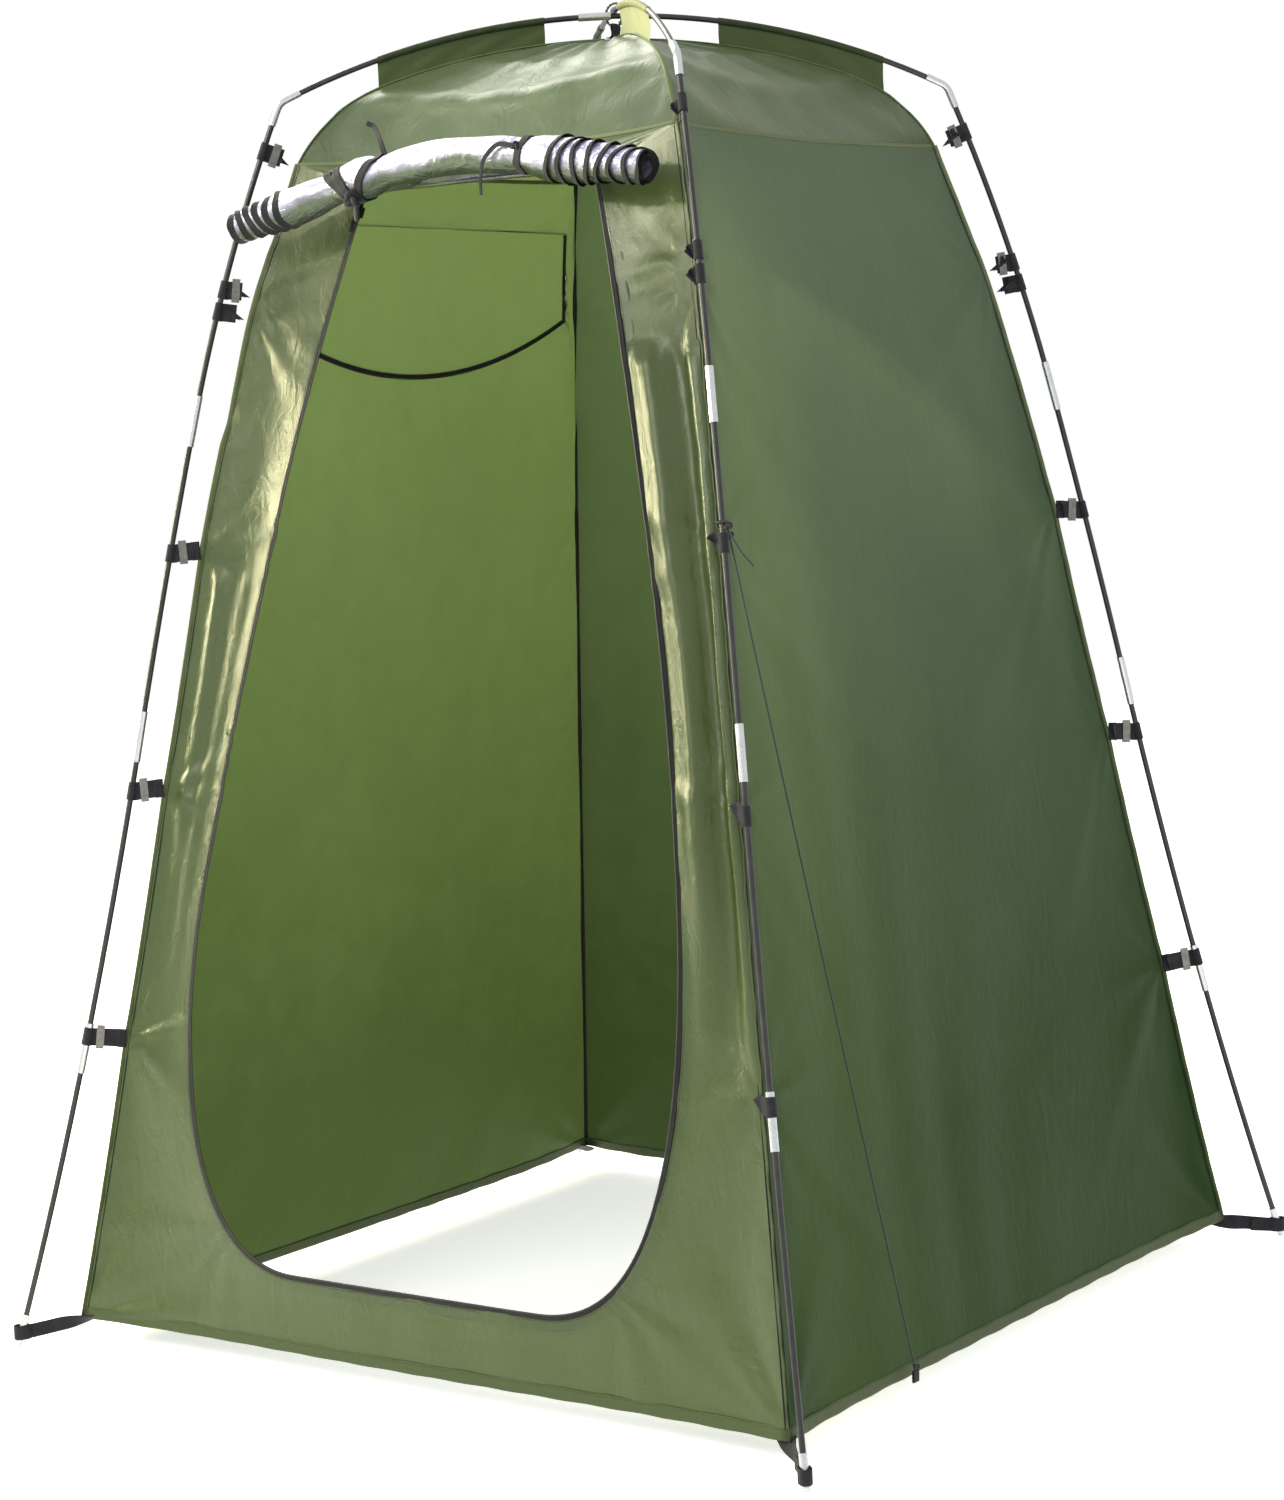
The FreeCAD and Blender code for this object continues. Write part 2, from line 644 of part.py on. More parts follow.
def cabin_edges(offset, upwards):
    """The edges of the front wall's section at an offset from the outline, in the YZ plane."""
    lean = math.radians(size("wall_lean"))
    shift = (offset * math.cos(lean), offset * math.sin(lean))
    ends = [(p[0] + shift[0], p[1] + shift[1]) for p in (CABIN_FOOT, CABIN_KNEE)]
    edges = [Part.LineSegment(*[Vector(0, -across, up) for across, up in ends]).toShape()]
    for arc in CABIN_ARCS:
        leans = (arc.leans[0], sum(arc.leans) / 2, arc.leans[1])
        points = [Vector(0, -p[0], p[1]) for p in (arc.at(lean, offset) for lean in leans)]
        edges.append(Part.Arc(*points).toShape())
    return edges if upwards else edges[::-1]


def cloth_gore(outside, inside):
    """The front quarter of the cabin's cloth, from hem to crown, between two offsets."""
    outer = cabin_edges(outside, True)
    inner = cabin_edges(inside, False)
    crown = Part.makeLine(outer[-1].Vertexes[-1].Point, inner[0].Vertexes[-1].Point)
    hem = Part.makeLine(inner[-1].Vertexes[0].Point, outer[0].Vertexes[0].Point)
    wire = Part.Wire(Part.__sortEdges__(outer + [crown] + inner + [hem]))
    reach = size("hem_half_width") * 1.2
    band = Part.Face(wire)
    band.translate(Vector(-reach, 0, 0))
    strip = band.extrude(Vector(2 * reach, 0, 0))
    corners = [Vector(0, 0, 0), Vector(reach, -reach, 0), Vector(-reach, -reach, 0), Vector(0, 0, 0)]
    wedge = Part.Face(Part.makePolygon(corners)).extrude(Vector(0, 0, BEYOND_HEIGHT))
    return strip.common(wedge)


def level_slab(low, high):
    across = 2 * BEYOND_WIDTH
    return Part.makeBox(across, across, high - low, Vector(-BEYOND_WIDTH, -BEYOND_WIDTH, low))


def quarter_turned(shape, quarters):
    turned = shape.copy()
    turned.rotate(Vector(0, 0, 0), Z_AXIS, 90 * quarters)
    return turned


def bezier(points):
    curve = Part.BezierCurve()
    curve.setPoles(points)
    return curve.toShape()


def door_side(name, side, inset):
    """One side of the doorway's outline in the XZ plane, and its ends at the top and on the sill."""
    across_low = size(f"door_{name}_low")
    top = Vector(side * (size(f"door_{name}_top") - inset), 0, size("door_top") - inset)
    low = Vector(side * (across_low - inset), 0, size("door_side_end"))
    bow = size(f"door_{name}_bow")
    upper = Part.Arc(top, (top + low) * 0.5 + Vector(side * bow, 0, 0), low)
    turned = math.degrees(math.atan(4 * bow / (low - top).Length))
    down = Rotation(Y_AXIS, side * turned).multVec((low - top).normalize())
    run = Vector(side * size("door_corner_run"), 0, 0)
    sill = Vector(side * across_low, 0, size("door_sill") + inset) - run
    corner = bezier([low, low + down * size("door_corner_drop"), sill + run, sill])
    return [upper.toShape(), corner], top, sill


def door_prism(inset=0.0):
    """The doorway's outline cut through the front, drawn in by inset all round."""
    left, left_top, left_sill = door_side("left", -1, inset)
    right, right_top, right_sill = door_side("right", 1, inset)
    level = [Part.makeLine(left_top, right_top), Part.makeLine(left_sill, right_sill)]
    face = Part.Face(Part.Wire(Part.__sortEdges__(left + right + level)))
    face.translate(Vector(0, -BEYOND_WIDTH, 0))
    return face.extrude(Vector(0, BEYOND_WIDTH / 2 + DOOR_CUT, 0))


def window_place():
    """The left wall's own plane at the window: X runs along +Y, Y up the slope and Z inwards."""
    height = size("window_level")
    lean = math.radians(CABIN_ARCS[0].lean_at_height(height))
    up = Vector(math.sin(lean), 0, math.cos(lean))
    inward = Y_AXIS.cross(up)
    return Placement(
        Vector(-cabin_half_width(height), 0, height), Rotation(Y_AXIS, up, inward, "XYZ")
    )


def window_prism(inset, hinge_inset):
    """The window's outline cut through the left wall, drawn in from its sides and its top."""
    top = size("window_hinge") - hinge_inset
    shoulder = size("window_shoulder")
    bottom = -size("window_bottom") + inset
    half_top, half_low = size("window_top_half") - inset, size("window_low_half") - inset
    corners = [
        Vector(-half_low, shoulder, -WALL_CUT),
        Vector(-half_top, top, -WALL_CUT),
        Vector(half_top, top, -WALL_CUT),
        Vector(half_low, shoulder, -WALL_CUT),
    ]
    edges = [Part.makeLine(a, b) for a, b in zip(corners, corners[1:])]
    edges.append(Part.Arc(corners[3], Vector(0, bottom, -WALL_CUT), corners[0]).toShape())
    prism = Part.Face(Part.Wire(edges)).extrude(Vector(0, 0, 2 * WALL_CUT))
    prism.Placement = window_place()
    return prism


def make_cloth():
    cloth = size("cloth")
    gore = cloth_gore(0, -cloth)
    wall = gore.common(level_slab(0, size("roof_seam_height")))
    computed("front_wall", wall.cut(door_prism()))
    computed("right_wall", quarter_turned(wall, 1))
    computed("back_wall", quarter_turned(wall, 2))
    left = quarter_turned(wall, 3)
    computed("left_wall", left.cut(window_prism(0, 0)))
    top = gore.common(level_slab(size("roof_seam_height"), BEYOND_HEIGHT))
    computed("roof", Part.makeCompound([quarter_turned(top, quarters) for quarters in range(4)]))

    zip_gore = cloth_gore(size("zip_proud"), -cloth - size("zip_proud"))
    door_band = door_prism().cut(door_prism(size("zip_width")))
    below_top = level_slab(0, size("door_top") - size("zip_width"))
    computed("door_zip", zip_gore.common(door_band).common(below_top))
    left_zip = quarter_turned(zip_gore, 3)
    window_band = window_prism(0, 0).cut(window_prism(size("zip_width"), 0))
    computed("window_zip", left_zip.common(window_band))
    flap_inset = size("zip_width") + size("flap_gap")
    computed("window_flap", left.common(window_prism(flap_inset, size("flap_gap"))))


def make_sleeve(leg):
    """A fin of cloth from the roof's seam up to the roof pole, with a tube round the pole."""
    roof_arc = LEG_LINES[HOOP[leg]][5]
    start = size(f"sleeve_start_{leg}")
    reaches = [start + size("sleeve_length") * share for share in (0, 0.5, 1)]
    cloth = size("sleeve_cloth")
    gap = size("pole_radius") + size("sleeve_slack")

    def pole_height(reach, below):
        across = roof_arc.radius - below
        return roof_arc.centre[1] + math.sqrt(across**2 - reach**2)

    def seam_height(reach):
        low, high = size("roof_seam_height"), CABIN_ARCS[-1].end[1]
        for _ in range(40):
            middle = (low + high) / 2
            low, high = (middle, high) if seam_reach(middle) > reach else (low, middle)
        return low + size("sleeve_seam_gap")

    top = [Vector(r, 0, pole_height(r, gap + cloth / 2)) for r in reaches]
    low = [Vector(r, 0, seam_height(r)) for r in reaches]
    edges = [
        Part.Arc(*top).toShape(),
        Part.makeLine(top[-1], low[-1]),
        Part.Arc(*low[::-1]).toShape(),
        Part.makeLine(low[0], top[0]),
    ]
    fin = Part.Face(Part.Wire(edges))
    fin.translate(Vector(0, -cloth / 2, 0))
    fin = fin.extrude(Vector(0, cloth, 0))
    path = Part.Wire(Part.Arc(*[Vector(r, 0, pole_height(r, 0)) for r in reaches]).toShape())
    first = path.Edges[0].firstVertex().Point
    along = path.Edges[0].tangentAt(path.Edges[0].FirstParameter)
    tubes = [
        path.makePipe(Part.Face(Part.Wire(Part.makeCircle(radius, first, along))))
        for radius in (gap + cloth, gap)
    ]
    sleeve = fin.fuse(tubes[0]).cut(tubes[1])
    sleeve.rotate(Vector(0, 0, 0), Z_AXIS, LEG_DIRECTION[leg])
    return sleeve


def make_hem():
    """A square frame of binding round the outside of the walls' lower edge."""

    def frustum(name, outside, stretch):
        slope = "tan(#wall_lean * 1 deg)"
        low = f"#hem_half_width + ({outside}) / cos(#wall_lean * 1 deg) + {stretch} * {slope}"
        high = f"{low} - (#hem_band + 2 * {stretch}) * {slope}"
        block = primitive(
            "Part::Wedge", name, Xmin=f"-({low})", Xmax=low, Zmin=f"-({low})", Zmax=low,
            X2min=f"-({high})", X2max=high, Z2min=f"-({high})", Z2max=high,
            Ymin=f"#hem_height - {stretch}", Ymax=f"#hem_height + #hem_band + {stretch}",
        )
        block.Placement = Placement(Vector(0, 0, 0), Rotation(X_AXIS, 90))
        return block

    outer = frustum("hem_outside", "#hem_thickness + 0.1", 0)
    inner = frustum("hem_inside", "0.1", 5)
    node(boolean("Part::Cut", "hem_binding", outer, inner), "hem_binding")


# ---------------------------------------------------------------- the rolled door


def roll_arc():
    return Part.Arc(*ROLL_LINE).toShape()


def roll_at(share):
    """The point on the roll's middle line, and the line's direction there."""
    line = roll_arc()
    first, last = line.ParameterRange
    value = first + share * (last - first)
    return line.valueAt(value), line.tangentAt(value)


def make_door_roll():
    start, along = roll_at(0)
    section = Part.Face(Part.Wire(Part.makeCircle(size("roll_radius"), start, along)))
    computed("door_roll", Part.Wire(roll_arc()).makePipe(section))
    ties = []
    for name, share in TIE_PLACES.items():
        middle, along = roll_at(share)
        place = Placement(
            middle - along * (size("tie_width") / 2), Rotation(Z_AXIS, along)
        )
        bore = "#roll_radius + #roll_clear"
        ties.append(
            straight_tube(f"tie_{name}", place, f"{bore} + #tie_thickness", bore, "#tie_width")
        )
    node(group("door_ties", ties), "door_ties")
    middle, along = roll_at(TIE_PLACES["left"])
    drop = size("roll_radius") + size("roll_clear") + size("tie_thickness") + size("toggle_gap")
    low = middle - Vector(0, 0, drop + size("toggle_length") + size("toggle_radius"))
    barrel = primitive(
        "Part::Cylinder", "toggle_barrel", Radius="#toggle_radius", Height="#toggle_length"
    )
    barrel.Placement.Base = low
    ends = []
    for name, rise in (("low", 0), ("high", size("toggle_length"))):
        ends.append(primitive("Part::Sphere", f"toggle_{name}", Radius="#toggle_radius"))
        ends[-1].Placement.Base = low + Vector(0, 0, rise)
    toggle = union("tie_toggle_body", [barrel] + ends)
    node(toggle, "tie_toggle")


# ---------------------------------------------------------------- zip sliders


def slider_lift():
    """A slider's plate above the middle of the cloth."""
    return "#cloth / 2 + #zip_proud + #slider_gap"


def slider_block(name, width, length, height, corner):
    """A box of a slider, from expressions for its sizes and its lowest corner."""
    block = primitive("Part::Box", name, Length=width, Width=length, Height=height)
    for axis, expression in zip("xyz", corner):
        bind(block, **{f"Placement.Base.{axis}": expression})
    return block


def make_slider(name, straddles):
    """A slider in its own frame: X points to the cloth, the zip runs along Y, and Z is away from it.

    The zip's free edge is at X = 0. A slider that straddles the zip has a second plate behind it.
    """
    lift = slider_lift()
    edge = "-#slider_plate - #slider_edge_gap"
    middle = f"#slider_width / 2 + ({edge})"
    plate = ("#slider_width", "#slider_length", "#slider_plate")
    start = "-#slider_length / 2"
    pieces = [slider_block(f"{name}_front", *plate, (edge, start, lift))]
    if straddles:
        pieces.append(
            slider_block(f"{name}_back", *plate, (edge, start, f"-({lift}) - #slider_plate"))
        )
        web = ("#slider_plate", "#slider_length", f"2 * ({lift}) + #slider_plate")
        pieces.append(slider_block(f"{name}_web", *web, (edge, start, f"-({lift})")))
    lug = ("#lug_width", "#lug_length", "#pull_bar_height + #lug_length / 2")
    clear = "#pull_width / 2 + #lug_gap"
    for side, across in (("near", f"-({clear}) - #lug_width"), ("far", f"+ {clear}")):
        corner = (f"{middle} {across}", "-#lug_length / 2", lift)
        pieces.append(slider_block(f"{name}_{side}_lug", *lug, corner))
    bar = primitive(
        "Part::Cylinder", f"{name}_bar", Radius="#pull_bar_radius",
        Height=f"2 * ({clear} + #lug_width / 2)",
    )
    bar.Placement.Rotation = Rotation(Y_AXIS, 90)
    bind(bar, **{
        "Placement.Base.x": f"{middle} - ({clear}) - #lug_width / 2",
        "Placement.Base.z": f"{lift} + #pull_bar_height",
    })
    return union(name, pieces + [bar])


def bar_spot():
    """The pull tab's pivot in the slider's own frame."""
    across = size("slider_width") / 2 - size("slider_plate") - size("slider_edge_gap")
    lift = size("cloth") / 2 + size("zip_proud") + size("slider_gap")
    return Vector(across, 0, lift + size("pull_bar_height"))


def make_pull(name):
    """A pull tab in its own frame: the eye's axis is X, and the tab runs along Y."""
    body = new_body(name)
    eye = sketch_on(body, f"{name}_eye", "YZ_Plane")
    circle_on(eye, "#pull_eye_radius")
    pad(body, eye, f"{name}_barrel", "#pull_width", True)
    tab = sketch_on(body, f"{name}_tab", "XZ_Plane")
    centred_box(tab, "#pull_width / 2", "#pull_thickness / 2")
    blade = pad(body, tab, f"{name}_blade", "#pull_length")
    blade.Reversed = True
    hole = sketch_on(body, f"{name}_hole", "YZ_Plane")
    circle_on(hole, "#pull_eye_bore")
    bore = body.newObject("PartDesign::Pocket", f"{name}_bore")
    bore.Profile = hole
    bore.Midplane = True
    bind(bore, Length="2 * #pull_width")
    return body


def place_slider(kind, straddles, place):
    slider = make_slider(f"{kind}_slider_body", straddles)
    slider.Placement = place
    node(slider, f"{kind}_slider")
    pull = make_pull(f"{kind}_pull_body")
    pull.Placement = place.multiply(Placement(bar_spot(), Rotation()))
    node(pull, f"{kind}_pull")
    print(kind, "pull's pivot", pull.Placement.Base, "and axis", place.Rotation.multVec(X_AXIS))


def door_edge_at(height):
    """The door zip's free edge on the cloth's middle, at a height on its upper left side."""
    inset = size("zip_width")
    top, end = size("door_top") - inset, size("door_side_end")
    share = (top - height) / (top - end)
    across = size("door_left_top") + share * (size("door_left_low") - size("door_left_top"))
    across += 4 * share * (1 - share) * size("door_left_bow") - inset
    return Vector(-across, -cabin_half_width(height) + size("cloth") / 2, height)


def make_sliders():
    parked = size("door_top") - size("slider_park")
    start, end = door_edge_at(parked), door_edge_at(parked - size("slider_travel"))
    down = (end - start).normalize()
    outward = down.cross(X_AXIS).normalize()
    place_slider("door", True, Placement(start, Rotation(down.cross(outward), down, outward, "XYZ")))
    print("door slider slides along", down, "for", (end - start).Length)

    wall = window_place()
    half = size("window_low_half")
    rise = size("window_shoulder") + size("window_bottom")
    radius = (half**2 + rise**2) / (2 * rise)
    centre = Vector(0, radius - size("window_bottom"), 0)
    turn = -math.asin(half / radius) + math.radians(size("window_slider_park"))
    outward = Vector(math.sin(turn), -math.cos(turn), 0)
    along = Z_AXIS.cross(outward)
    spot = centre + outward * (radius - size("zip_width")) + Z_AXIS * (size("cloth") / 2)
    local = Placement(spot, Rotation(outward, along, Z_AXIS, "XYZ"))
    place_slider("window", False, wall.multiply(local))
    print("window slider turns about", wall.multVec(centre), "axis",
          wall.Rotation.multVec(Z_AXIS), "through", -2 * math.degrees(turn))
    hinge = wall.multVec(Vector(0, size("window_hinge"), size("cloth") / 2))
    print("window hinge at", hinge)


# ---------------------------------------------------------------- cords and their fittings


def rounded_route(points):
    """Straight runs joined by tangent arcs, each arc as large as its two runs allow."""
    edges = []
    start = points[0]
    for before, corner, after in zip(points, points[1:], points[2:]):
        back, ahead = (before - corner).normalize(), (after - corner).normalize()
        half_turn = (math.pi - back.getAngle(ahead)) / 2
        shorter = min((before - corner).Length, (after - corner).Length)
        reach = 0.45 * shorter
        radius = reach / math.tan(half_turn)
        inward = (back + ahead).normalize()
        middle = corner + inward * (radius / math.cos(half_turn) - radius)
        first, last = corner + back * reach, corner + ahead * reach
        edges.append(Part.makeLine(start, first))
        edges.append(Part.Arc(first, middle, last).toShape())
        start = last
        print("bend radius", round(radius, 1))
    edges.append(Part.makeLine(start, points[-1]))
    return Part.Wire(edges)


def make_guy_line():
    leg = "fr"
    height = size("guy_ring_height")
    reach, lean = pole_at_height(height, HOOP[leg])
    ring = primitive("Part::Torus", "ring_on_pole", Radius1="#guy_ring_radius",
                     Radius2="#guy_ring_wire")
    ring.Placement = leg_place(leg, reach, height, lean)
    node(ring, "guy_ring")
    route = rounded_route(GUY_ROUTE)
    section = Part.makeCircle(size("guy_radius"), GUY_ROUTE[0], GUY_ROUTE[1] - GUY_ROUTE[0])
    tube = route.makePipe(Part.Face(Part.Wire(section)))
    computed("guy_line", tube)
    print("guy line", round(route.Length, 1), "long, volume over section times length",
          round(tube.Volume / (math.pi * size("guy_radius") ** 2 * route.Length), 4))
    tab = primitive("Part::Box", "tab_on_hem", Length="#guy_tab_thickness",
                    Width="#guy_tab_width", Height="#guy_tab_height")
    end = GUY_ROUTE[-1]
    tab.Placement.Base = Vector(
        end.x - size("guy_tab_thickness") / 2,
        end.y - size("guy_tab_width") / 2,
        end.z + size("guy_tab_cover") - size("guy_tab_height"),
    )
    node(tab, "guy_tab")


def make_crown():
    """The cord loop that ties the two hoops together, and the roof tab that hangs from it."""
    crossing = (LEG_LINES["one"][5].end[1] + LEG_LINES["two"][5].end[1]) / 2
    ring = primitive("Part::Torus", "crossing_loop", Radius1="#tie_ring_radius",
                     Radius2="#tie_ring_cord")
    ring.Placement = Placement(
        Vector(0, 0, crossing - size("tie_ring_drop")), Rotation(X_AXIS, 90)
    )
    node(ring, "apex_tie")
    tab = primitive("Part::Box", "crown_tab", Length="#strap_thickness", Width="#tab_width",
                    Height="#tab_height")
    crown = CABIN_ARCS[-1].end[1] + size("crown_gap")
    tab.Placement.Base = Vector(-size("strap_thickness") / 2, -size("tab_width") / 2, crown)
    hole = primitive("Part::Cylinder", "crown_tab_hole", Radius="#tab_hole", Height="#tab_width")
    hole.Placement = Placement(
        Vector(-size("tab_width") / 2, 0, ring.Placement.Base.z - size("tie_ring_radius")),
        Rotation(Y_AXIS, 90),
    )
    node(boolean("Part::Cut", "roof_tab_body", tab, hole), "roof_tab")


# ---------------------------------------------------------------- build everything

for leg in LEG_DIRECTION:
    make_poles(leg)
    make_ferrules(leg)
make_apex_ferrules()
node(group("elbows", [make_elbow(leg) for leg in LEG_DIRECTION]), "elbows")
for hoop in ("one", "two"):
    make_shock_cord(hoop)
for leg in LEG_DIRECTION:
    make_straps(leg)
node(group("foot_tips", [make_foot_tip(leg) for leg in LEG_DIRECTION]), "foot_tips")
node(group("foot_straps", [make_foot_strap(leg) for leg in LEG_DIRECTION]), "foot_straps")
make_cloth()
computed("pole_sleeves", Part.makeCompound([make_sleeve(leg) for leg in LEG_DIRECTION]))
make_hem()
make_door_roll()
make_sliders()
make_guy_line()
make_crown()

doc.recompute()
for thing in doc.Objects:
    if "Invalid" in thing.State or "Error" in thing.State:
        raise RuntimeError(f"{thing.Name} did not build: {thing.State}")
os.makedirs("parts", exist_ok=True)
for thing in NODES:
    if thing.Shape.isNull() or not thing.Shape.isValid():
        raise RuntimeError(f"{thing.Label} has no valid shape")
for thing in NODES:
    thing.Shape.exportStep(f"parts/{thing.Label}.step")
print(len(NODES), "nodes")
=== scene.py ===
import json
import math

import bpy
import numpy as np
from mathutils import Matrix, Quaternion, Vector
from mathutils.bvhtree import BVHTree


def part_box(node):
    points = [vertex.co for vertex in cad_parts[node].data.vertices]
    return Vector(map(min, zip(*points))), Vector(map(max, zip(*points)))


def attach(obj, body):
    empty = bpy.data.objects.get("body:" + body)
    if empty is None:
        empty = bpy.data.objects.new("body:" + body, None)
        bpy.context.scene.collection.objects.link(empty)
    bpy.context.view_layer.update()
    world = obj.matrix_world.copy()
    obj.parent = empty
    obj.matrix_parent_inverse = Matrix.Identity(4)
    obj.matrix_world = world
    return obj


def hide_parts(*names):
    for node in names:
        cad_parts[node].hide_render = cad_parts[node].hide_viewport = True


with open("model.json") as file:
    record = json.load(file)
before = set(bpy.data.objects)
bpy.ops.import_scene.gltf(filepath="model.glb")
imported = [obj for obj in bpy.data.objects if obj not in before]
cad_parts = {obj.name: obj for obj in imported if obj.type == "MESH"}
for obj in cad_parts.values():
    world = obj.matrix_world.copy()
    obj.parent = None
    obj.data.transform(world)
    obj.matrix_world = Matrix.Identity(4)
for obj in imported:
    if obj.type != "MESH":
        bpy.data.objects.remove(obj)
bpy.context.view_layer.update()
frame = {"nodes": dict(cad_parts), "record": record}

# The looks of the privacy shower tent, built round its CAD bodies. Metres, +Z up, doorway facing -Y.

NODES = frame["nodes"]
LEGS = {"fl": (-1, -1), "fr": (1, -1), "br": (1, 1), "bl": (-1, 1)}  # each leg's corner as signs of x and y
ROOT_HALF = math.sqrt(0.5)
POLE_RADIUS = 0.004
UP = np.array([0.0, 0.0, 1.0])


# ---------------------------------------------------------------- objects and the camera

def shown(name, data):
    """A new object in the scene."""
    thing = bpy.data.objects.new(name, data)
    bpy.context.scene.collection.objects.link(thing)
    return thing


def aimed(thing, place, way):
    """Puts a camera or a light at a place and turns it to look along a direction."""
    thing.rotation_mode = "QUATERNION"
    thing.location = place
    thing.rotation_quaternion = way.to_track_quat("-Z", "Y")


def make_camera():
    """A camera at eye height, looking down a little at the front right corner."""
    azimuth = math.radians(35.82)
    elevation = math.radians(5.62)
    roll = math.radians(-2.49)
    distance = 4.617
    target = Vector((0, 0, 0.798))
    back = Vector((
        math.sin(azimuth) * math.cos(elevation),
        -math.cos(azimuth) * math.cos(elevation),
        math.sin(elevation),
    ))
    data = bpy.data.cameras.new("camera")
    data.sensor_width = 36
    data.lens = 76.5
    data.shift_x = -0.0033
    camera = shown("camera", data)
    aimed(camera, target + back * distance, -back)
    camera.rotation_quaternion = camera.rotation_quaternion @ Quaternion((0, 0, 1), roll)
    bpy.context.scene.camera = camera


# ---------------------------------------------------------------- lines and meshes

def unit(vectors):
    return vectors / np.linalg.norm(vectors, axis=-1, keepdims=True)


def run_of(path, closed=False):
    """The distance along a line at each of its points, and at its end once more if it is closed."""
    ends = np.concatenate([path, path[:1]]) if closed else path
    return np.concatenate([[0], np.cumsum(np.linalg.norm(np.diff(ends, axis=0), axis=1))])


def read_off(wanted, run, values):
    """The rows of values at the wanted places of a run."""
    return np.stack([np.interp(wanted, run, column) for column in np.transpose(values)], -1)


def resampled(path, count):
    """count + 1 points evenly spaced along a line of points."""
    run = run_of(path)
    return read_off(np.linspace(0, run[-1], count + 1), run, path)


def smooth_line(points, count):
    """count + 1 evenly spaced points on a smooth line through a few given ones."""
    points = np.asarray(points, float)
    ends = np.concatenate([2 * points[:1] - points[1:2], points, 2 * points[-1:] - points[-2:-1]])
    shares = np.linspace(0, 1, 16, endpoint=False)[:, None]
    spans = []
    for a, b, c, d in zip(ends, ends[1:], ends[2:], ends[3:]):
        curve = 2 * b + (c - a) * shares + (2 * a - 5 * b + 4 * c - d) * shares**2
        spans.append((curve + (3 * b - a - 3 * c + d) * shares**3) / 2)
    return resampled(np.concatenate(spans + [points[-1:]]), count)


def directions(path, closed=False):
    """The unit direction of a line at each of its points."""
    if closed:
        return unit(np.roll(path, -1, 0) - np.roll(path, 1, 0))
    return unit(np.gradient(path, axis=0))


def carried_sides(path, closed=False):
    """A sideways direction carried along a line without twisting round it."""
    ways = directions(path, closed)
    first = np.cross(ways[0], UP)
    if np.linalg.norm(first) < 0.1:
        first = np.cross(ways[0], [1.0, 0.0, 0.0])
    sides = [unit(first)]
    for way in ways[1:]:
        sides.append(unit(sides[-1] - way * np.dot(way, sides[-1])))
    return np.array(sides)


def squared(sides, path):
    """Sideways directions made square to a line."""
    ways = directions(path)
    return unit(sides - ways * (ways * sides).sum(1)[:, None])


def band_profile(width, thickness, cells=8):
    """The rounded outline of a flat band, anticlockwise."""
    half, edge = width / 2 - thickness / 2, thickness / 2
    across = np.linspace(-half, half, cells + 1)
    low = [(x, -edge) for x in across]
    high = [(x, edge) for x in across[::-1]]
    return np.array(low + [(width / 2, 0)] + high + [(-width / 2, 0)])


def round_profile(radius, sides=10):
    angles = np.linspace(0, 2 * math.pi, sides, endpoint=False)
    return np.stack([np.cos(angles), np.sin(angles)], 1) * radius


class Piece:
    """A piece gathered part by part. Each part's flat places, in metres, carry its weave."""

    def __init__(self, name):
        self.name = name
        self.points, self.faces, self.flats, self.slots = [], [], [], []

    def add(self, points, faces, flats, slot=0):
        """flats has one place for each corner of each face."""
        start = len(self.points)
        self.points.extend(map(tuple, np.asarray(points, float)))
        self.faces.extend(tuple(start + int(i) for i in face) for face in faces)
        self.flats.extend(tuple(flat) for flat in flats)
        self.slots.extend([slot] * len(faces))

    def sweep(self, path, sides, profile, closed=False, slot=0, scale=None):
        """A closed outline of (sideways, upwards) places carried along a line.

        sides is one sideways direction, or one for each of the line's points.
        """
        path, profile = np.asarray(path, float), np.asarray(profile, float)
        sides = np.broadcast_to(np.asarray(sides, float), path.shape)
        count, around = len(path), len(profile)
        ups = unit(np.cross(directions(path, closed), sides))
        sizes = np.ones(count) if scale is None else np.asarray(scale)
        shape = profile[None] * sizes[:, None, None]
        points = path[:, None] + shape[..., :1] * sides[:, None] + shape[..., 1:] * ups[:, None]
        run, rim = run_of(path, closed), run_of(profile, True)
        faces, flats = [], []
        for row in range(count if closed else count - 1):
            here, after = row * around, (row + 1) % count * around
            for k in range(around):
                beside = (k + 1) % around
                faces.append((here + k, here + beside, after + beside, after + k))
                flats += [
                    (run[row], rim[k]), (run[row], rim[k + 1]),
                    (run[row + 1], rim[k + 1]), (run[row + 1], rim[k]),
                ]
        if not closed:
            last = (count - 1) * around
            faces += [tuple(range(around))[::-1], tuple(range(last, last + around))]
            flats += list(map(tuple, profile[::-1])) + list(map(tuple, profile))
        self.add(points.reshape(-1, 3), faces, flats, slot)

    def tube(self, path, radius, sides=10, closed=False, slot=0, scale=None):
        path = np.asarray(path, float)
        self.sweep(path, carried_sides(path, closed), round_profile(radius, sides), closed, slot, scale)

    def band(self, path, sides, width, thickness, closed=False, slot=0, cells=8, scale=None):
        self.sweep(path, sides, band_profile(width, thickness, cells), closed, slot, scale)

    def grid(self, points, flats, slot=0):
        """A sheet from rows of points and their flat places."""
        rows, columns = points.shape[:2]
        faces = grid_faces(rows, columns)
        self.add(points.reshape(-1, 3), faces, flats.reshape(-1, 2)[faces.ravel()], slot)

    def make(self, body, slot_name, materials, replaces=()):
        thing = new_object(self.name, self.points, self.faces, self.flats)
        for material in materials:
            thing.data.materials.append(material)
        thing.data.polygons.foreach_set("material_index", np.array(self.slots, np.int32))
        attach(thing, body)
        if replaces:
            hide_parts(*replaces)
        return thing


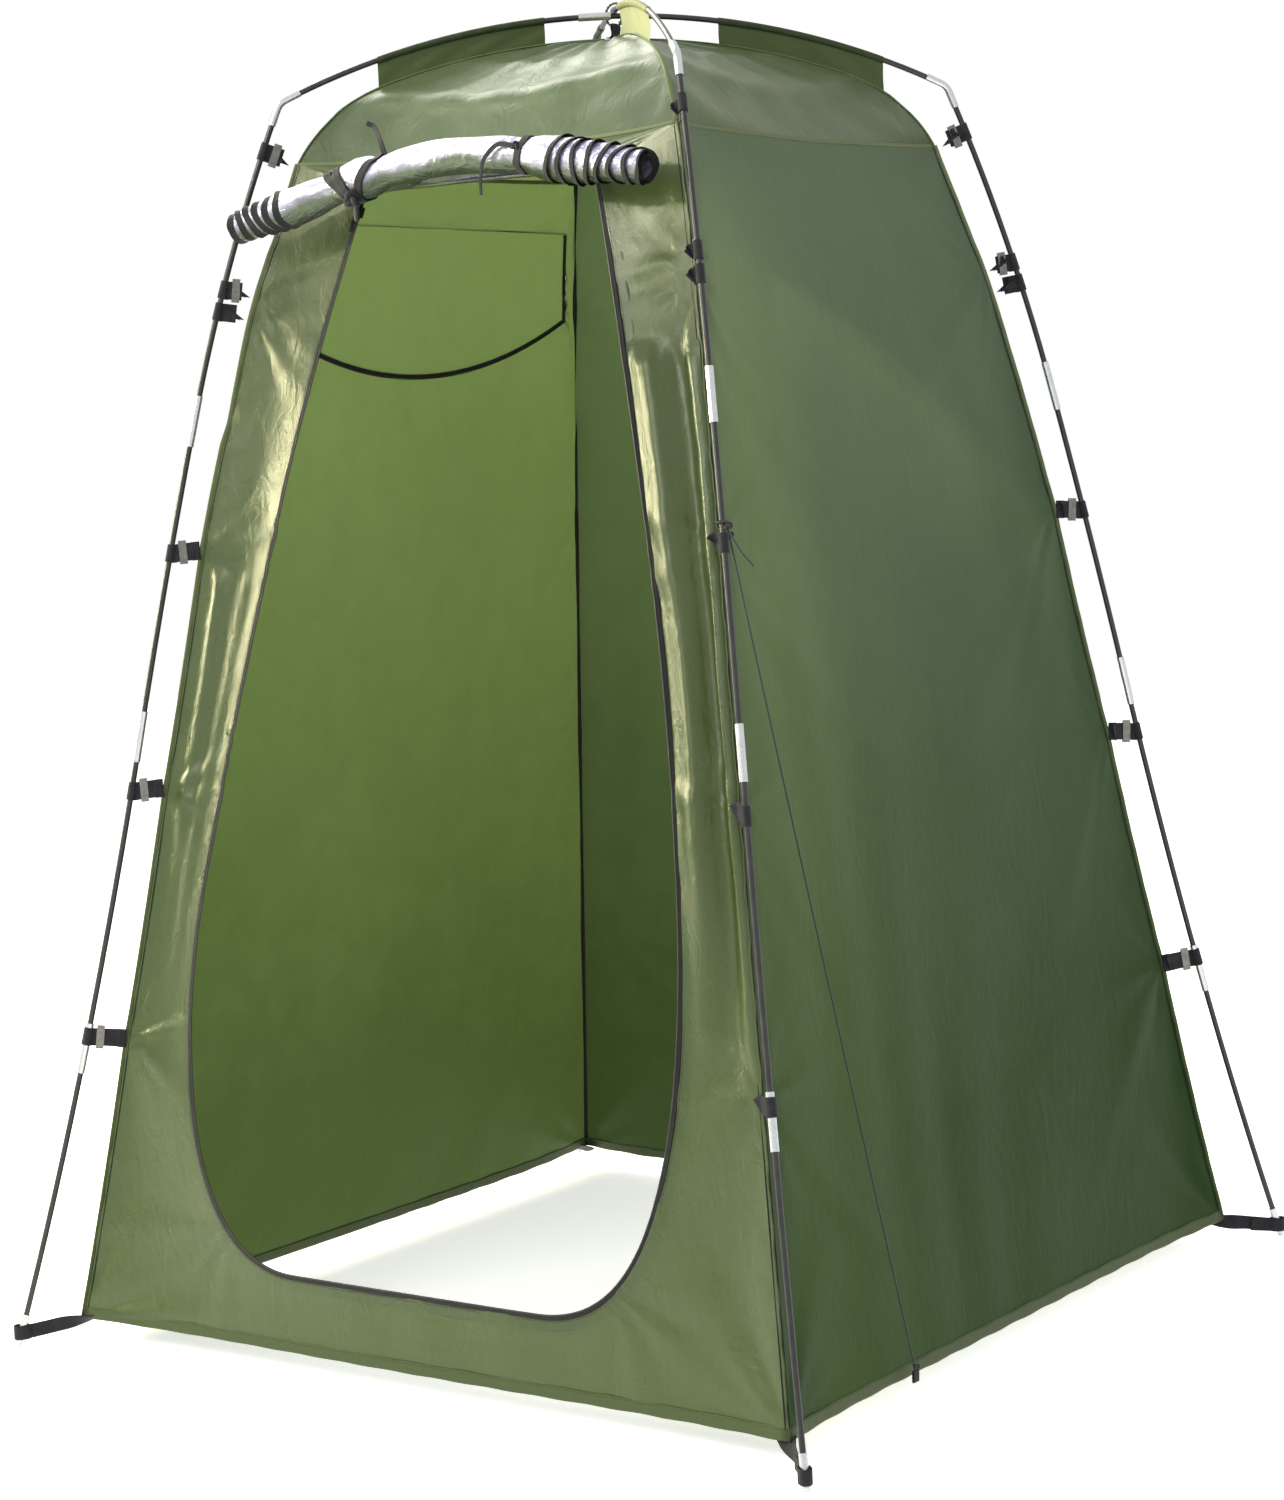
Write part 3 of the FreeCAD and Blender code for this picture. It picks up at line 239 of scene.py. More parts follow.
def new_object(name, points, faces, flats):
    """A smooth mesh object. flats has one place in metres for each corner of each face."""
    mesh = bpy.data.meshes.new(name)
    mesh.from_pydata([tuple(p) for p in points], [], [tuple(int(i) for i in f) for f in faces])
    layer = mesh.uv_layers.new(name="flat")
    layer.data.foreach_set("uv", np.asarray(flats, np.float32).ravel())
    mesh.update()
    mesh.shade_smooth()
    return shown(name, mesh)


def points_of(thing, what="co"):
    """An object's vertices, or their normals, as an array."""
    values = np.zeros(len(thing.data.vertices) * 3)
    thing.data.vertices.foreach_get(what, values)
    return values.reshape(-1, 3)


def quads_area(corners):
    """The area of flat four-sided faces, from the two diagonals of each."""
    one, two = corners[:, 2] - corners[:, 0], corners[:, 3] - corners[:, 1]
    return float(np.abs(one[:, 0] * two[:, 1] - one[:, 1] * two[:, 0]).sum() / 2)


def box_of(name):
    """A CAD node's low corner, high corner and middle."""
    low, high = (np.array(corner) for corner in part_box(name))
    return low, high, (low + high) / 2


def grid_faces(rows, columns):
    """Quads over a grid of rows by columns of points."""
    corner = np.arange((rows - 1) * columns).reshape(rows - 1, columns)[:, :-1].ravel()
    return np.stack([corner, corner + 1, corner + columns + 1, corner + columns], 1)


# ---------------------------------------------------------------- reading the CAD's shapes

def shape_tree(*names):
    """A search tree over the faces of CAD nodes."""
    points, faces = [], []
    for name in names:
        mesh = NODES[name].data
        start = len(points)
        points += [v.co.copy() for v in mesh.vertices]
        faces += [[start + i for i in p.vertices] for p in mesh.polygons]
    return BVHTree.FromPolygons(points, faces)


def shells(name):
    """The separate shells of a CAD node, each as an array of its points."""
    mesh = NODES[name].data
    places = {}
    owner = [places.setdefault(tuple(round(c, 6) for c in v.co), v.index) for v in mesh.vertices]

    def root(i):
        while owner[i] != i:
            owner[i] = owner[owner[i]]
            i = owner[i]
        return i

    for edge in mesh.edges:
        a, b = map(root, edge.vertices)
        owner[max(a, b)] = min(a, b)
    groups = {}
    for i, vertex in enumerate(mesh.vertices):
        groups.setdefault(root(i), []).append(vertex.co)
    return [np.array(points) for points in groups.values()]


class Leg:
    """One leg's upright plane: out is away from the axis, and side is square to the plane."""

    def __init__(self, name):
        x, y = LEGS[name]
        self.name = name
        self.out = np.array([x, y, 0.0]) * ROOT_HALF
        self.side = np.array([-y, x, 0.0]) * ROOT_HALF
        self.tree = shape_tree(*[f"pole_{name}_{number}" for number in (1, 2, 3, 4)])
        self.roof_tree = shape_tree(f"roof_pole_{name}")

    def place(self, reach, height, aside=0.0):
        """Points in or beside the plane."""
        reach, height, aside = np.broadcast_arrays(*[np.asarray(v, float) for v in (reach, height, aside)])
        return reach[..., None] * self.out + aside[..., None] * self.side + height[..., None] * UP

    def local(self, points):
        """(reach, height, aside) of points."""
        return np.stack([points @ self.out, points[..., 2], points @ self.side], -1)

    def surface(self, height):
        """The reach of the pole's outer face at a height."""
        start = Vector(self.place(1.5, height))
        return float(np.array(self.tree.ray_cast(start, Vector(-self.out))[0]) @ self.out)

    def pole(self, height):
        """The pole's middle and its upward direction at a height, as (reach, height) pairs."""
        low, high = self.surface(height - 0.006), self.surface(height + 0.006)
        way = unit(np.array([high - low, 0.012]))
        return np.array([(low + high) / 2 - POLE_RADIUS / way[1], height]), way

    def roof_pole(self, reach):
        """The height of the roof pole's middle at a reach."""
        spot, normal = self.roof_tree.ray_cast(Vector(self.place(reach, 2.2)), Vector((0, 0, -1)))[:2]
        return spot.z - POLE_RADIUS / abs(normal.z)


# ---------------------------------------------------------------- the cabin's surface

CLOTH = 0.001  # the CAD cloth's thickness
HEM_COLUMNS = 72  # how many faces cross a wall
SEAM_ROWS = 104  # how many climb it to the roof's seam
ROOF_ROWS = 22  # how many climb the roof
CROWN_HOLE = 0.012  # how far short of its very top the roof's cloth stops
HAIR = 0.001  # how near a point counts as on a line
KEYS_PER_METRE = 5000  # points that fall in one cell of this grid are one point
KEY_SHIFT = 0.1234  # keeps points off the edges of the grid's cells
FRONT, RIGHT, BACK, LEFT, ROOF = range(5)


class Cabin:
    """The cabin's cloth as a surface: across is level, and along follows its section up from the hem."""

    def __init__(self):
        tree = shape_tree("right_wall", "roof")
        low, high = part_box("right_wall")
        eye = Vector((0, 0, 0.9))
        first = math.atan2(low.z + 0.001 - eye.z, high.x)
        section = []
        for angle in np.linspace(first, math.pi / 2 - 0.002, 500):
            ray = Vector((math.cos(angle), 0, math.sin(angle)))
            spot, normal = tree.ray_cast(eye, ray)[:2]
            normal *= 1 if normal.dot(ray) > 0 else -1
            section.append(spot + normal * CLOTH / 2)
        section.append(Vector((0, 0, section[-1].z)))
        section = np.array(section)
        self.lengths = run_of(section)
        self.reaches = section[:, 0]
        self.heights = section[:, 2]
        self.roof = float(np.interp(high.z, self.heights, self.lengths))
        self.total = float(self.lengths[-1])

    def reach(self, along):
        return np.interp(along, self.lengths, self.reaches)

    def height(self, along):
        return np.interp(along, self.lengths, self.heights)

    def along(self, height):
        return float(np.interp(height, self.heights, self.lengths))

    def place(self, side, across, along, out=0.0):
        """Points on a side, from FRONT round to LEFT, moved outwards."""
        across, along = np.broadcast_arrays(np.asarray(across, float), np.asarray(along, float))
        reach, height = self.reach(along), self.height(along)
        if np.any(out):
            step = 0.004
            rise = self.height(along + step) - self.height(along - step)
            inward = self.reach(along - step) - self.reach(along + step)
            size = np.hypot(rise, inward)
            reach = reach + out * rise / size
            height = height + out * inward / size
        x, y = across, -reach
        for _ in range(side):
            x, y = -y, x
        return np.stack([x, y, height], -1)


def hole_outline(cabin, node, side, centre):
    """The edge of a hole in a wall as (across, along) places, anticlockwise seen from outside."""
    tree = shape_tree(node)
    edge = []
    for angle in np.linspace(0, 2 * math.pi, 1800, endpoint=False):
        way = np.array([math.cos(angle), math.sin(angle)])
        near, far = 0.0, 1.0
        for _ in range(13):
            middle = (near + far) / 2
            across, along = centre + way * middle
            outside = along < 0 or along > cabin.roof or abs(across) > cabin.reach(along)
            if not outside:
                start = Vector(cabin.place(side, across, along, 0.02))
                ray = Vector(cabin.place(side, across, along)) - start
                outside = tree.ray_cast(start, ray.normalized(), 0.04)[0] is not None
            near, far = (near, middle) if outside else (middle, far)
        edge.append(centre + way * near)
    return np.array(edge)


def four_sided(outline, low_corner, high_corner, columns, rows):
    """A closed outline split at its corners into bottom, right, top and left, evenly spaced on each."""
    ways = [(-low_corner[0], low_corner[1]), low_corner, high_corner, (-high_corner[0], high_corner[1])]
    corners = [int(np.argmax(outline @ np.array(way))) for way in ways]
    loop = []
    for start, end, count in zip(corners, corners[1:] + corners[:1], (columns, rows) * 2):
        span = np.arange(start, end + 1 if end >= start else end + 1 + len(outline)) % len(outline)
        loop.append(resampled(outline[span], count)[:-1])
    return np.concatenate(loop)


def wall_grid(cabin, rows):
    """(across, along) places of a plain wall, row by row."""
    spread = np.linspace(-1, 1, HEM_COLUMNS + 1)
    return np.concatenate([
        np.stack([spread * cabin.reach(along), np.full(HEM_COLUMNS + 1, along)], 1) for along in rows
    ])


def ring_block(cabin, rows, outline, low_corner, high_corner, rings):
    """(across, along) places and faces of the part of a wall round a hole."""
    left = np.stack([-cabin.reach(rows), rows], 1)
    right = np.stack([cabin.reach(rows), rows], 1)
    across = np.linspace(-1, 1, HEM_COLUMNS + 1)
    bottom = np.stack([across * cabin.reach(rows[0]), np.full(len(across), rows[0])], 1)
    top = np.stack([across * cabin.reach(rows[-1]), np.full(len(across), rows[-1])], 1)
    outer = np.concatenate([bottom[:-1], right[:-1], top[:0:-1], left[:0:-1]])
    inner = four_sided(outline, low_corner, high_corner, HEM_COLUMNS, len(rows) - 1)
    shares = np.linspace(0, 1, rings + 1)[:, None, None]
    places = (outer * (1 - shares) + inner * shares).reshape(-1, 2)
    count = len(outer)
    corner = np.arange(rings * count)
    after = corner // count * count + (corner + 1) % count
    faces = np.stack([corner, after, after + count, corner + count], 1)
    return places, faces


class Cloth:
    """The cabin's cloth as one mesh: flat places for each panel's points, shared points, and faces."""

    def __init__(self, cabin):
        self.cabin = cabin
        flats, places, faces, panels = [], [], [], []

        def add(side, flat, quads, panel):
            start = sum(len(f) for f in flats)
            flats.append(flat)
            places.append(cabin.place(side, flat[:, 0], flat[:, 1]))
            faces.append(np.asarray(quads) + start)
            panels.append(np.full(len(quads), panel))
            return start + len(flat)

        rows = np.linspace(0, cabin.roof, SEAM_ROWS + 1)
        self.door_flat = hole_outline(cabin, "front_wall", FRONT, np.array([0.0, 0.75]))
        end = add(FRONT, *ring_block(cabin, rows, self.door_flat, (0.7, -0.7), (0.6, 0.8), 8), FRONT)
        rim = 2 * (HEM_COLUMNS + SEAM_ROWS)
        door = np.arange(end - rim, end)
        for side in (RIGHT, BACK):
            add(side, wall_grid(cabin, rows), grid_faces(len(rows), HEM_COLUMNS + 1), side)
        window_low = cabin.along(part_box("window_zip")[0].z)
        middle = (window_low + cabin.along(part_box("window_flap")[1].z)) / 2
        self.window_flat = hole_outline(cabin, "left_wall", LEFT, np.array([0.0, middle]))
        split = int(np.searchsorted(rows, window_low - 0.09))
        add(LEFT, wall_grid(cabin, rows[: split + 1]), grid_faces(split + 1, HEM_COLUMNS + 1), LEFT)
        high = rows[split:]
        end = add(LEFT, *ring_block(cabin, high, self.window_flat, (0.85, -0.5), (0.8, 0.6), 7), LEFT)
        window = np.arange(end - 2 * (HEM_COLUMNS + len(high) - 1), end)
        roof_rows = np.linspace(cabin.roof, cabin.total - CROWN_HOLE, ROOF_ROWS + 1)
        for side in (FRONT, RIGHT, BACK, LEFT):
            add(side, wall_grid(cabin, roof_rows), grid_faces(len(roof_rows), HEM_COLUMNS + 1), ROOF)

        self.flat = np.concatenate(flats)
        split_points = np.concatenate(places)
        self.split_faces = np.concatenate(faces)
        self.panels = np.concatenate(panels)
        keys = np.round(split_points * KEYS_PER_METRE + KEY_SHIFT).astype(np.int64)
        first, index = np.unique(keys, axis=0, return_index=True, return_inverse=True)[1:]
        self.index = index.ravel()
        self.start = split_points[first]
        self.points = self.start.copy()
        self.faces = self.index[self.split_faces]
        self.door, self.window = self.index[door], self.index[window]
        self.window_rows = len(high) - 1

    def flat_area(self, panel):
        """The flat area of a panel's cut."""
        return quads_area(self.flat[self.split_faces[self.panels == panel]])

    def normals(self):
        """Outward normals at the shared points."""
        corners = self.points[self.faces]
        square = np.cross(corners[:, 2] - corners[:, 0], corners[:, 3] - corners[:, 1])
        total = np.zeros_like(self.points)
        for k in range(4):
            np.add.at(total, self.faces[:, k], square)
        return unit(total)

    def ordered(self, chosen, key):
        """The chosen shared points in order of a key."""
        spots = np.nonzero(chosen)[0]
        return spots[np.argsort(key[spots])]

    def over(self, leg):
        """Which points lie in a leg's upright plane."""
        x, y = LEGS[leg]
        return (np.abs(self.start[:, 0] * x - self.start[:, 1] * y) < HAIR / 2) & (self.start[:, 0] * x > 0)

    def corner(self, leg):
        """The corner seam's points, from the hem up to the roof's seam."""
        height = self.start[:, 2]
        return self.ordered(self.over(leg) & (height < self.cabin.height(self.cabin.roof) + HAIR), height)

    def hip(self, leg):
        """The roof's hip from its seam with the walls up to the crown."""
        high = self.start[:, 2] > self.cabin.height(self.cabin.roof) - HAIR
        return self.ordered(self.over(leg) & high, -np.abs(self.start[:, 0]))

    def level_ring(self, along):
        """The points right round the cabin at one of its rows."""
        start = self.start
        height, reach = self.cabin.height(along), self.cabin.reach(along)
        broad = np.maximum(np.abs(start[:, 0]), np.abs(start[:, 1]))
        on = (np.abs(start[:, 2] - height) < 0.0004) & (np.abs(broad - reach) < HAIR)
        return self.ordered(on, np.arctan2(start[:, 1], start[:, 0]))


# ---------------------------------------------------------------- hanging the cloth

STRAP_SEAMS = (1.650, 1.474, 1.443, 1.117, 0.785, 0.431)  # the heights where straps are sewn to a corner
SHOULDER = 1.66  # the height where the corners bend over to the roof
CROWN = 1.72
HEM_HOLD, EDGE_HOLD = 0.06, 0.25  # how firmly the hem and the doorway's edge are held
HANG_FRAMES = 20
MOST_MOVE = 0.022

# The simulated cloth: light, springy and well damped, so that it comes to rest in a few frames.
CLOTH_SETTINGS = {
    "quality": 6,
    "mass": 0.15,
    "tension_stiffness": 25,
    "compression_stiffness": 12,
    "shear_stiffness": 8,
    "bending_stiffness": 0.08,
    "tension_damping": 5,
    "compression_damping": 5,
    "shear_damping": 5,
    "air_damping": 2,
    "vertex_group_mass": "held",
    "vertex_group_shrink": "loose",
    "shrink_min": -0.002,
    "shrink_max": -0.008,
}


def hold_weights(cloth):
    """How firmly each point is held: fully by straps, roof and window, a little at the doorway and hem."""
    start = cloth.start
    weights = np.zeros(len(start))
    pairs = np.sort(np.stack([cloth.faces, np.roll(cloth.faces, -1, 1)], -1).reshape(-1, 2), axis=1)
    edges, uses = np.unique(pairs, axis=0, return_counts=True)
    border = np.unique(edges[uses == 1])
    hem = start[:, 2].min()
    heights = start[border, 2]
    edge_hold = np.where(heights > CROWN, 1.0, EDGE_HOLD)
    weights[border] = np.where(heights < hem + 2 * HAIR, HEM_HOLD, edge_hold)
    across, deep, height = np.abs(start[:, 0]), np.abs(start[:, 1]), start[:, 2]
    corner = np.abs(across - deep) < 2 * HAIR
    half_strap, foot_patch, hip_reach, door_arch = 0.013, 0.022, 0.40, 1.34
    for seam in STRAP_SEAMS:
        weights[corner & (np.abs(height - seam) < half_strap) & (height < SHOULDER + 0.01)] = 1.0
    weights[corner & (height < hem + foot_patch)] = 1.0
    weights[corner & (height > SHOULDER) & (np.hypot(across, deep) < hip_reach)] = 1.0
    weights[cloth.door[start[cloth.door, 2] > door_arch]] = 1.0
    weights[cloth.window] = 1.0
    return weights


def hang(cloth):
    """Lets the whole cabin hang from its straps, then keeps where it came to rest."""
    flats = np.zeros((cloth.faces.size, 2))
    thing = new_object("hanging_cloth", cloth.start, cloth.faces, flats)
    weights = hold_weights(cloth)
    held = thing.vertex_groups.new(name="held")
    for weight in np.unique(weights[weights > 0]):
        held.add([int(i) for i in np.nonzero(weights == weight)[0]], float(weight), "REPLACE")
    loose = thing.vertex_groups.new(name="loose")
    start = cloth.start
    front = (start[:, 1] < -np.abs(start[:, 0]) + HAIR) & (start[:, 2] < SHOULDER)
    loose.add([int(i) for i in np.nonzero(front)[0]], 1.0, "REPLACE")
    modifier = thing.modifiers.new("hang", "CLOTH")
    for name, value in CLOTH_SETTINGS.items():
        setattr(modifier.settings, name, value)
    modifier.settings.effector_weights.gravity = 0.25
    modifier.collision_settings.use_collision = False
    modifier.point_cache.frame_end = HANG_FRAMES
    for number in range(1, HANG_FRAMES + 1):
        bpy.context.scene.frame_set(number)
    settled = points_of(thing.evaluated_get(bpy.context.evaluated_depsgraph_get()))
    bpy.context.scene.frame_set(1)
    mesh = thing.data
    bpy.data.objects.remove(thing)
    bpy.data.meshes.remove(mesh)
    move = settled - cloth.start
    size = np.linalg.norm(move, axis=1)
    cloth.points = cloth.start + move * (MOST_MOVE / np.hypot(size, MOST_MOVE))[:, None]


# ---------------------------------------------------------------- materials

THREAD_PITCH = 0.0011

class Recipe:
    """A material's nodes. A value is a number, a colour or another node's output."""

    def __init__(self, name):
        self.material = bpy.data.materials.new(name)
        self.material.use_nodes = True
        self.tree = self.material.node_tree
        self.surface = self.tree.nodes["Principled BSDF"]

    def put(self, socket, value):
        if isinstance(value, bpy.types.NodeSocket):
            self.tree.links.new(value, socket)
        elif socket.type == "RGBA":
            socket.default_value = (*value, 1)
        else:
            socket.default_value = value

    def node(self, kind, values, output=0, **options):
        made = self.tree.nodes.new(kind)
        for name, value in options.items():
            setattr(made, name, value)
        for name, value in values.items():
            self.put(made.inputs[name], value)
        return made.outputs[output]

    def spot(self, stretch=(1, 1, 1)):
        """Places in metres, stretched along the axes."""
        place = self.node("ShaderNodeTexCoord", {}, "Object")
        return self.node("ShaderNodeMapping", {"Vector": place, "Scale": stretch})

    def flat(self, stretch=(1, 1, 1)):
        """Flat places in metres: along and across a band, or the cut of a sheet."""
        place = self.node("ShaderNodeUVMap", {}, "UV", uv_map="flat")
        return self.node("ShaderNodeMapping", {"Vector": place, "Scale": stretch})

    def noise(self, place, scale, detail=3.0, rough=0.5, twist=0.0):
        values = {"Vector": place, "Scale": scale, "Detail": detail, "Roughness": rough, "Distortion": twist}
        return self.node("ShaderNodeTexNoise", values, "Fac")

    def ribs(self, place, spacing, way, wander=0.0):
        """Even ridges across an axis, that far apart in metres."""
        values = {"Vector": place, "Scale": math.pi / 10 / spacing, "Distortion": wander, "Detail": 1.0}
        return self.node("ShaderNodeTexWave", values, "Fac", bands_direction=way)

    def weave(self):
        """Threads that cross, in a plain weave."""
        warp, weft = (self.ribs(self.flat(), THREAD_PITCH, way) for way in "XY")
        return self.combine("MULTIPLY", warp, weft)

    def combine(self, kind, a, b):
        made = self.tree.nodes.new("ShaderNodeMath")
        made.operation = kind
        self.put(made.inputs[0], a)
        self.put(made.inputs[1], b)
        return made.outputs[0]

    def fade(self, value, low, high, start=0.0, end=1.0):
        """A value carried from one range to another."""
        ranges = {"Value": value, "From Min": low, "From Max": high, "To Min": start, "To Max": end}
        return self.node("ShaderNodeMapRange", ranges)

    def mix(self, share, a, b):
        made = self.tree.nodes.new("ShaderNodeMix")
        made.data_type = "RGBA"
        for socket, value in zip((made.inputs[0], made.inputs[6], made.inputs[7]), (share, a, b)):
            self.put(socket, value)
        return made.outputs[2]

    def bumps(self, *heights):
        """Bump after bump, each a (height, depth in metres) pair."""
        normal = None
        for height, depth in heights:
            values = {"Height": height, "Distance": depth, "Strength": 1.0}
            if normal is not None:
                values["Normal"] = normal
            normal = self.node("ShaderNodeBump", values)
        return normal

    def finish(self, **values):
        names = {name.replace(" ", "_").lower(): name for name in self.surface.inputs.keys()}
        for name, value in values.items():
            self.put(self.surface.inputs[names[name]], value)
        return self.material

    def let_light_through(self, colour, share, normal):
        """Mixes light that comes through the cloth into the surface."""
        through = self.node("ShaderNodeBsdfTranslucent", {"Color": colour, "Normal": normal})
        made = self.tree.nodes.new("ShaderNodeMixShader")
        made.inputs[0].default_value = share
        self.tree.links.new(self.surface.outputs[0], made.inputs[1])
        self.tree.links.new(through, made.inputs[2])
        self.tree.links.new(made.outputs[0], self.tree.nodes["Material Output"].inputs[0])


def cloth_material(name, deep, pale, through, share, roughness=0.42, depth=0.0011, shine=0.10):
    """Coated polyester taffeta: a fine weave, small crinkles and a soft shine, with painted shade that
    darkens it low down and a painted sky reflection that makes it paler higher up.
    """
    recipe = Recipe(name)
    spot = recipe.spot()
    broad = recipe.noise(spot, 2.2, 3.0)
    middle = recipe.noise(spot, 17.0, 4.0, 0.6, 0.8)
    height = recipe.node("ShaderNodeSeparateXYZ", {"Vector": spot}, "Z")
    # Painted shade and light: the colour runs from deep at the bottom to pale at the top with height, over a
    # random tone.
    painted_shade_and_tone = recipe.combine("ADD", recipe.fade(broad, 0.3, 0.7, -0.07, 0.07), recipe.fade(height, 0.25, 1.6))
    painted_shade_and_tone = recipe.combine("ADD", painted_shade_and_tone, recipe.fade(middle, 0.3, 0.7, -0.05, 0.05))
    painted_shade_and_tone = recipe.fade(painted_shade_and_tone, 0.0, 1.0)
    weave = recipe.weave()
    colour = recipe.mix(painted_shade_and_tone, deep, pale)
    colour = recipe.mix(recipe.fade(weave, 0.0, 1.0, 0.10, 0.0), colour, (0.01, 0.02, 0.005))
    crinkles = recipe.noise(recipe.spot((1, 1, 0.55)), 30.0, 3.0, 0.55, 1.6)
    creases = recipe.noise(spot, 95.0, 2.0, 0.5, 1.0)
    normal = recipe.bumps((crinkles, depth), (creases, depth / 7), (weave, 0.00006))
    recipe.finish(
        base_color=colour,
        roughness=recipe.fade(middle, 0.3, 0.7, roughness - 0.05, roughness + 0.07),
        normal=normal,
        sheen_weight=0.03,
        sheen_roughness=0.4,
        specular_ior_level=shine,
    )
    # Painted shade: the light let through is dimmer towards the bottom.
    painted_shade_through = [channel * 0.42 for channel in through]
    recipe.let_light_through(recipe.mix(painted_shade_and_tone, painted_shade_through, through), share, normal)
    return recipe.material


def silver_material():
    """The door's inside: a lilac silver coating, full of sharp little creases, with painted shade and a
    painted reflection of the green cloth on the faces that turn downwards.
    """
    recipe = Recipe("silver_coating")
    spot = recipe.spot()
    crumple = recipe.noise(recipe.spot((0.6, 1, 1)), 38.0, 4.0, 0.6, 1.5)
    creases = recipe.noise(spot, 140.0, 2.0)
    tone = recipe.noise(spot, 11.0, 3.0)
    weave = recipe.weave()
    # Painted shade and painted reflection: faces that turn downwards go dark green-grey, over a random tone.
    facing = recipe.node("ShaderNodeNewGeometry", {}, "Normal")
    upward = recipe.node("ShaderNodeSeparateXYZ", {"Vector": facing}, "Z")
    painted_underside_shade_and_tone = recipe.combine("ADD", recipe.fade(upward, -0.55, 0.55), recipe.fade(tone, 0.3, 0.7, -0.3, 0.3))
    colour = recipe.mix(recipe.fade(painted_underside_shade_and_tone, 0.1, 0.8), (0.08, 0.10, 0.07), (0.42, 0.41, 0.58))
    return recipe.finish(
        base_color=colour,
        metallic=0.75,
        roughness=recipe.fade(crumple, 0.3, 0.7, 0.24, 0.40),
        normal=recipe.bumps((crumple, 0.004), (creases, 0.0006), (weave, 0.00006)),
    )


def webbing_material(name, colour, worn):
    """Woven tape: ribs across its length, a ridge along each edge's threads, and lighter worn spots."""
    recipe = Recipe(name)
    across = recipe.ribs(recipe.flat(), 0.0015, "X", 0.4)
    along = recipe.ribs(recipe.flat(), 0.0021, "Y")
    fuzz = recipe.noise(recipe.spot(), 900.0, 2.0)
    wear = recipe.noise(recipe.spot(), 60.0, 4.0)
    weave = recipe.combine("MULTIPLY", across, along)
    return recipe.finish(
        base_color=recipe.mix(recipe.combine("MULTIPLY", recipe.fade(wear, 0.45, 0.75), weave), colour, worn),
        roughness=recipe.fade(fuzz, 0.3, 0.7, 0.62, 0.85),
        normal=recipe.bumps((weave, 0.0004), (fuzz, 0.00008)),
        sheen_weight=0.06,
        sheen_roughness=0.5,
        specular_ior_level=0.25,
    )


def metal_material(name, colour, roughness, grain=(1, 1, 0.06), tint=0.12):
    """Drawn or brushed metal with faint streaks and small marks."""
    recipe = Recipe(name)
    streaks = recipe.noise(recipe.spot(grain), 1400.0, 2.0)
    marks = recipe.noise(recipe.spot(), 130.0, 4.0)
    dark = [channel * (1 - tint) for channel in colour]
    return recipe.finish(
        base_color=recipe.mix(recipe.fade(marks, 0.35, 0.7), colour, dark),
        metallic=1.0,
        roughness=recipe.fade(streaks, 0.3, 0.7, roughness - 0.06, roughness + 0.10),
        normal=recipe.bumps((streaks, 0.00003), (marks, 0.00005)),
    )


def plastic_material(name, colour, roughness, scale=420.0, depth=0.00004, coat=0.0, grain=(1, 1, 1)):
    """Moulded or pultruded plastic with a fine texture and slightly uneven shine."""
    recipe = Recipe(name)
    texture = recipe.noise(recipe.spot(grain), scale, 3.0)
    scuffs = recipe.noise(recipe.spot(), 45.0, 4.0)
    pale = [channel * 1.6 + 0.006 for channel in colour]
    return recipe.finish(
        base_color=recipe.mix(recipe.fade(scuffs, 0.45, 0.8), colour, pale),
        roughness=recipe.fade(scuffs, 0.3, 0.7, roughness - 0.04, roughness + 0.12),
        normal=recipe.bumps((texture, depth)),
        coat_weight=coat,
        coat_roughness=0.12,
    )


def cord_material(name, colour, fleck):
    """Braided cord: crossing strands that run round it both ways."""
    recipe = Recipe(name)
    one = recipe.ribs(recipe.flat(), 0.0013, "DIAGONAL")
    two = recipe.ribs(recipe.flat((-1, 1, 1)), 0.0013, "DIAGONAL")
    braid = recipe.combine("MAXIMUM", one, two)
    strands = recipe.noise(recipe.spot(), 700.0, 2.0)
    return recipe.finish(
        base_color=recipe.mix(recipe.fade(strands, 0.55, 0.7), colour, fleck),
        roughness=0.75,
        normal=recipe.bumps((braid, 0.00025)),
        sheen_weight=0.2,
    )


def floor_material():
    recipe = Recipe("studio_floor")
    grain = recipe.noise(recipe.spot(), 30.0, 4.0)
    return recipe.finish(
        base_color=recipe.mix(recipe.fade(grain, 0.3, 0.7), (0.90, 0.90, 0.90), (0.93, 0.93, 0.93)),
        roughness=0.9,
        normal=recipe.bumps((grain, 0.0002)),
        emission_color=(1, 1, 1),
        emission_strength=0.6,
    )


# The walls' taffeta. Its deep colour low down is painted shade, and its greyer pale colour high up is a
# painted sky reflection.
GREEN = cloth_material(
    "green_taffeta", (0.009, 0.033, 0.003), (0.080, 0.106, 0.074), (0.250, 0.375, 0.110), 0.20
)
# The front's copy of the taffeta: glossier, and lighter and yellower low down than the other walls, which is
# painted light.
PAINTED_LIGHT_FRONT_GREEN = cloth_material(
    "front_taffeta_painted_light", (0.046, 0.078, 0.012), (0.050, 0.070, 0.024), (0.40, 0.45, 0.08), 0.20,
    0.29, 0.0014, 0.6
)
# The roof's copy of the taffeta: glossier, and darker than the walls' top, which is painted shade.
PAINTED_SHADE_ROOF_GREEN = cloth_material(
    "roof_taffeta_painted_shade", (0.05, 0.07, 0.04), (0.055, 0.076, 0.046), (0.40, 0.50, 0.15), 0.18,
    0.34, 0.0014, 0.3
)
HEM_GREEN = cloth_material(
    "hem_taffeta", (0.075, 0.100, 0.045), (0.10, 0.13, 0.07), (0.35, 0.45, 0.15), 0.1
)
SEAM_GREEN = cloth_material(
    "seam_taffeta", (0.060, 0.085, 0.025), (0.13, 0.16, 0.08), (0.50, 0.55, 0.20), 0.2
)
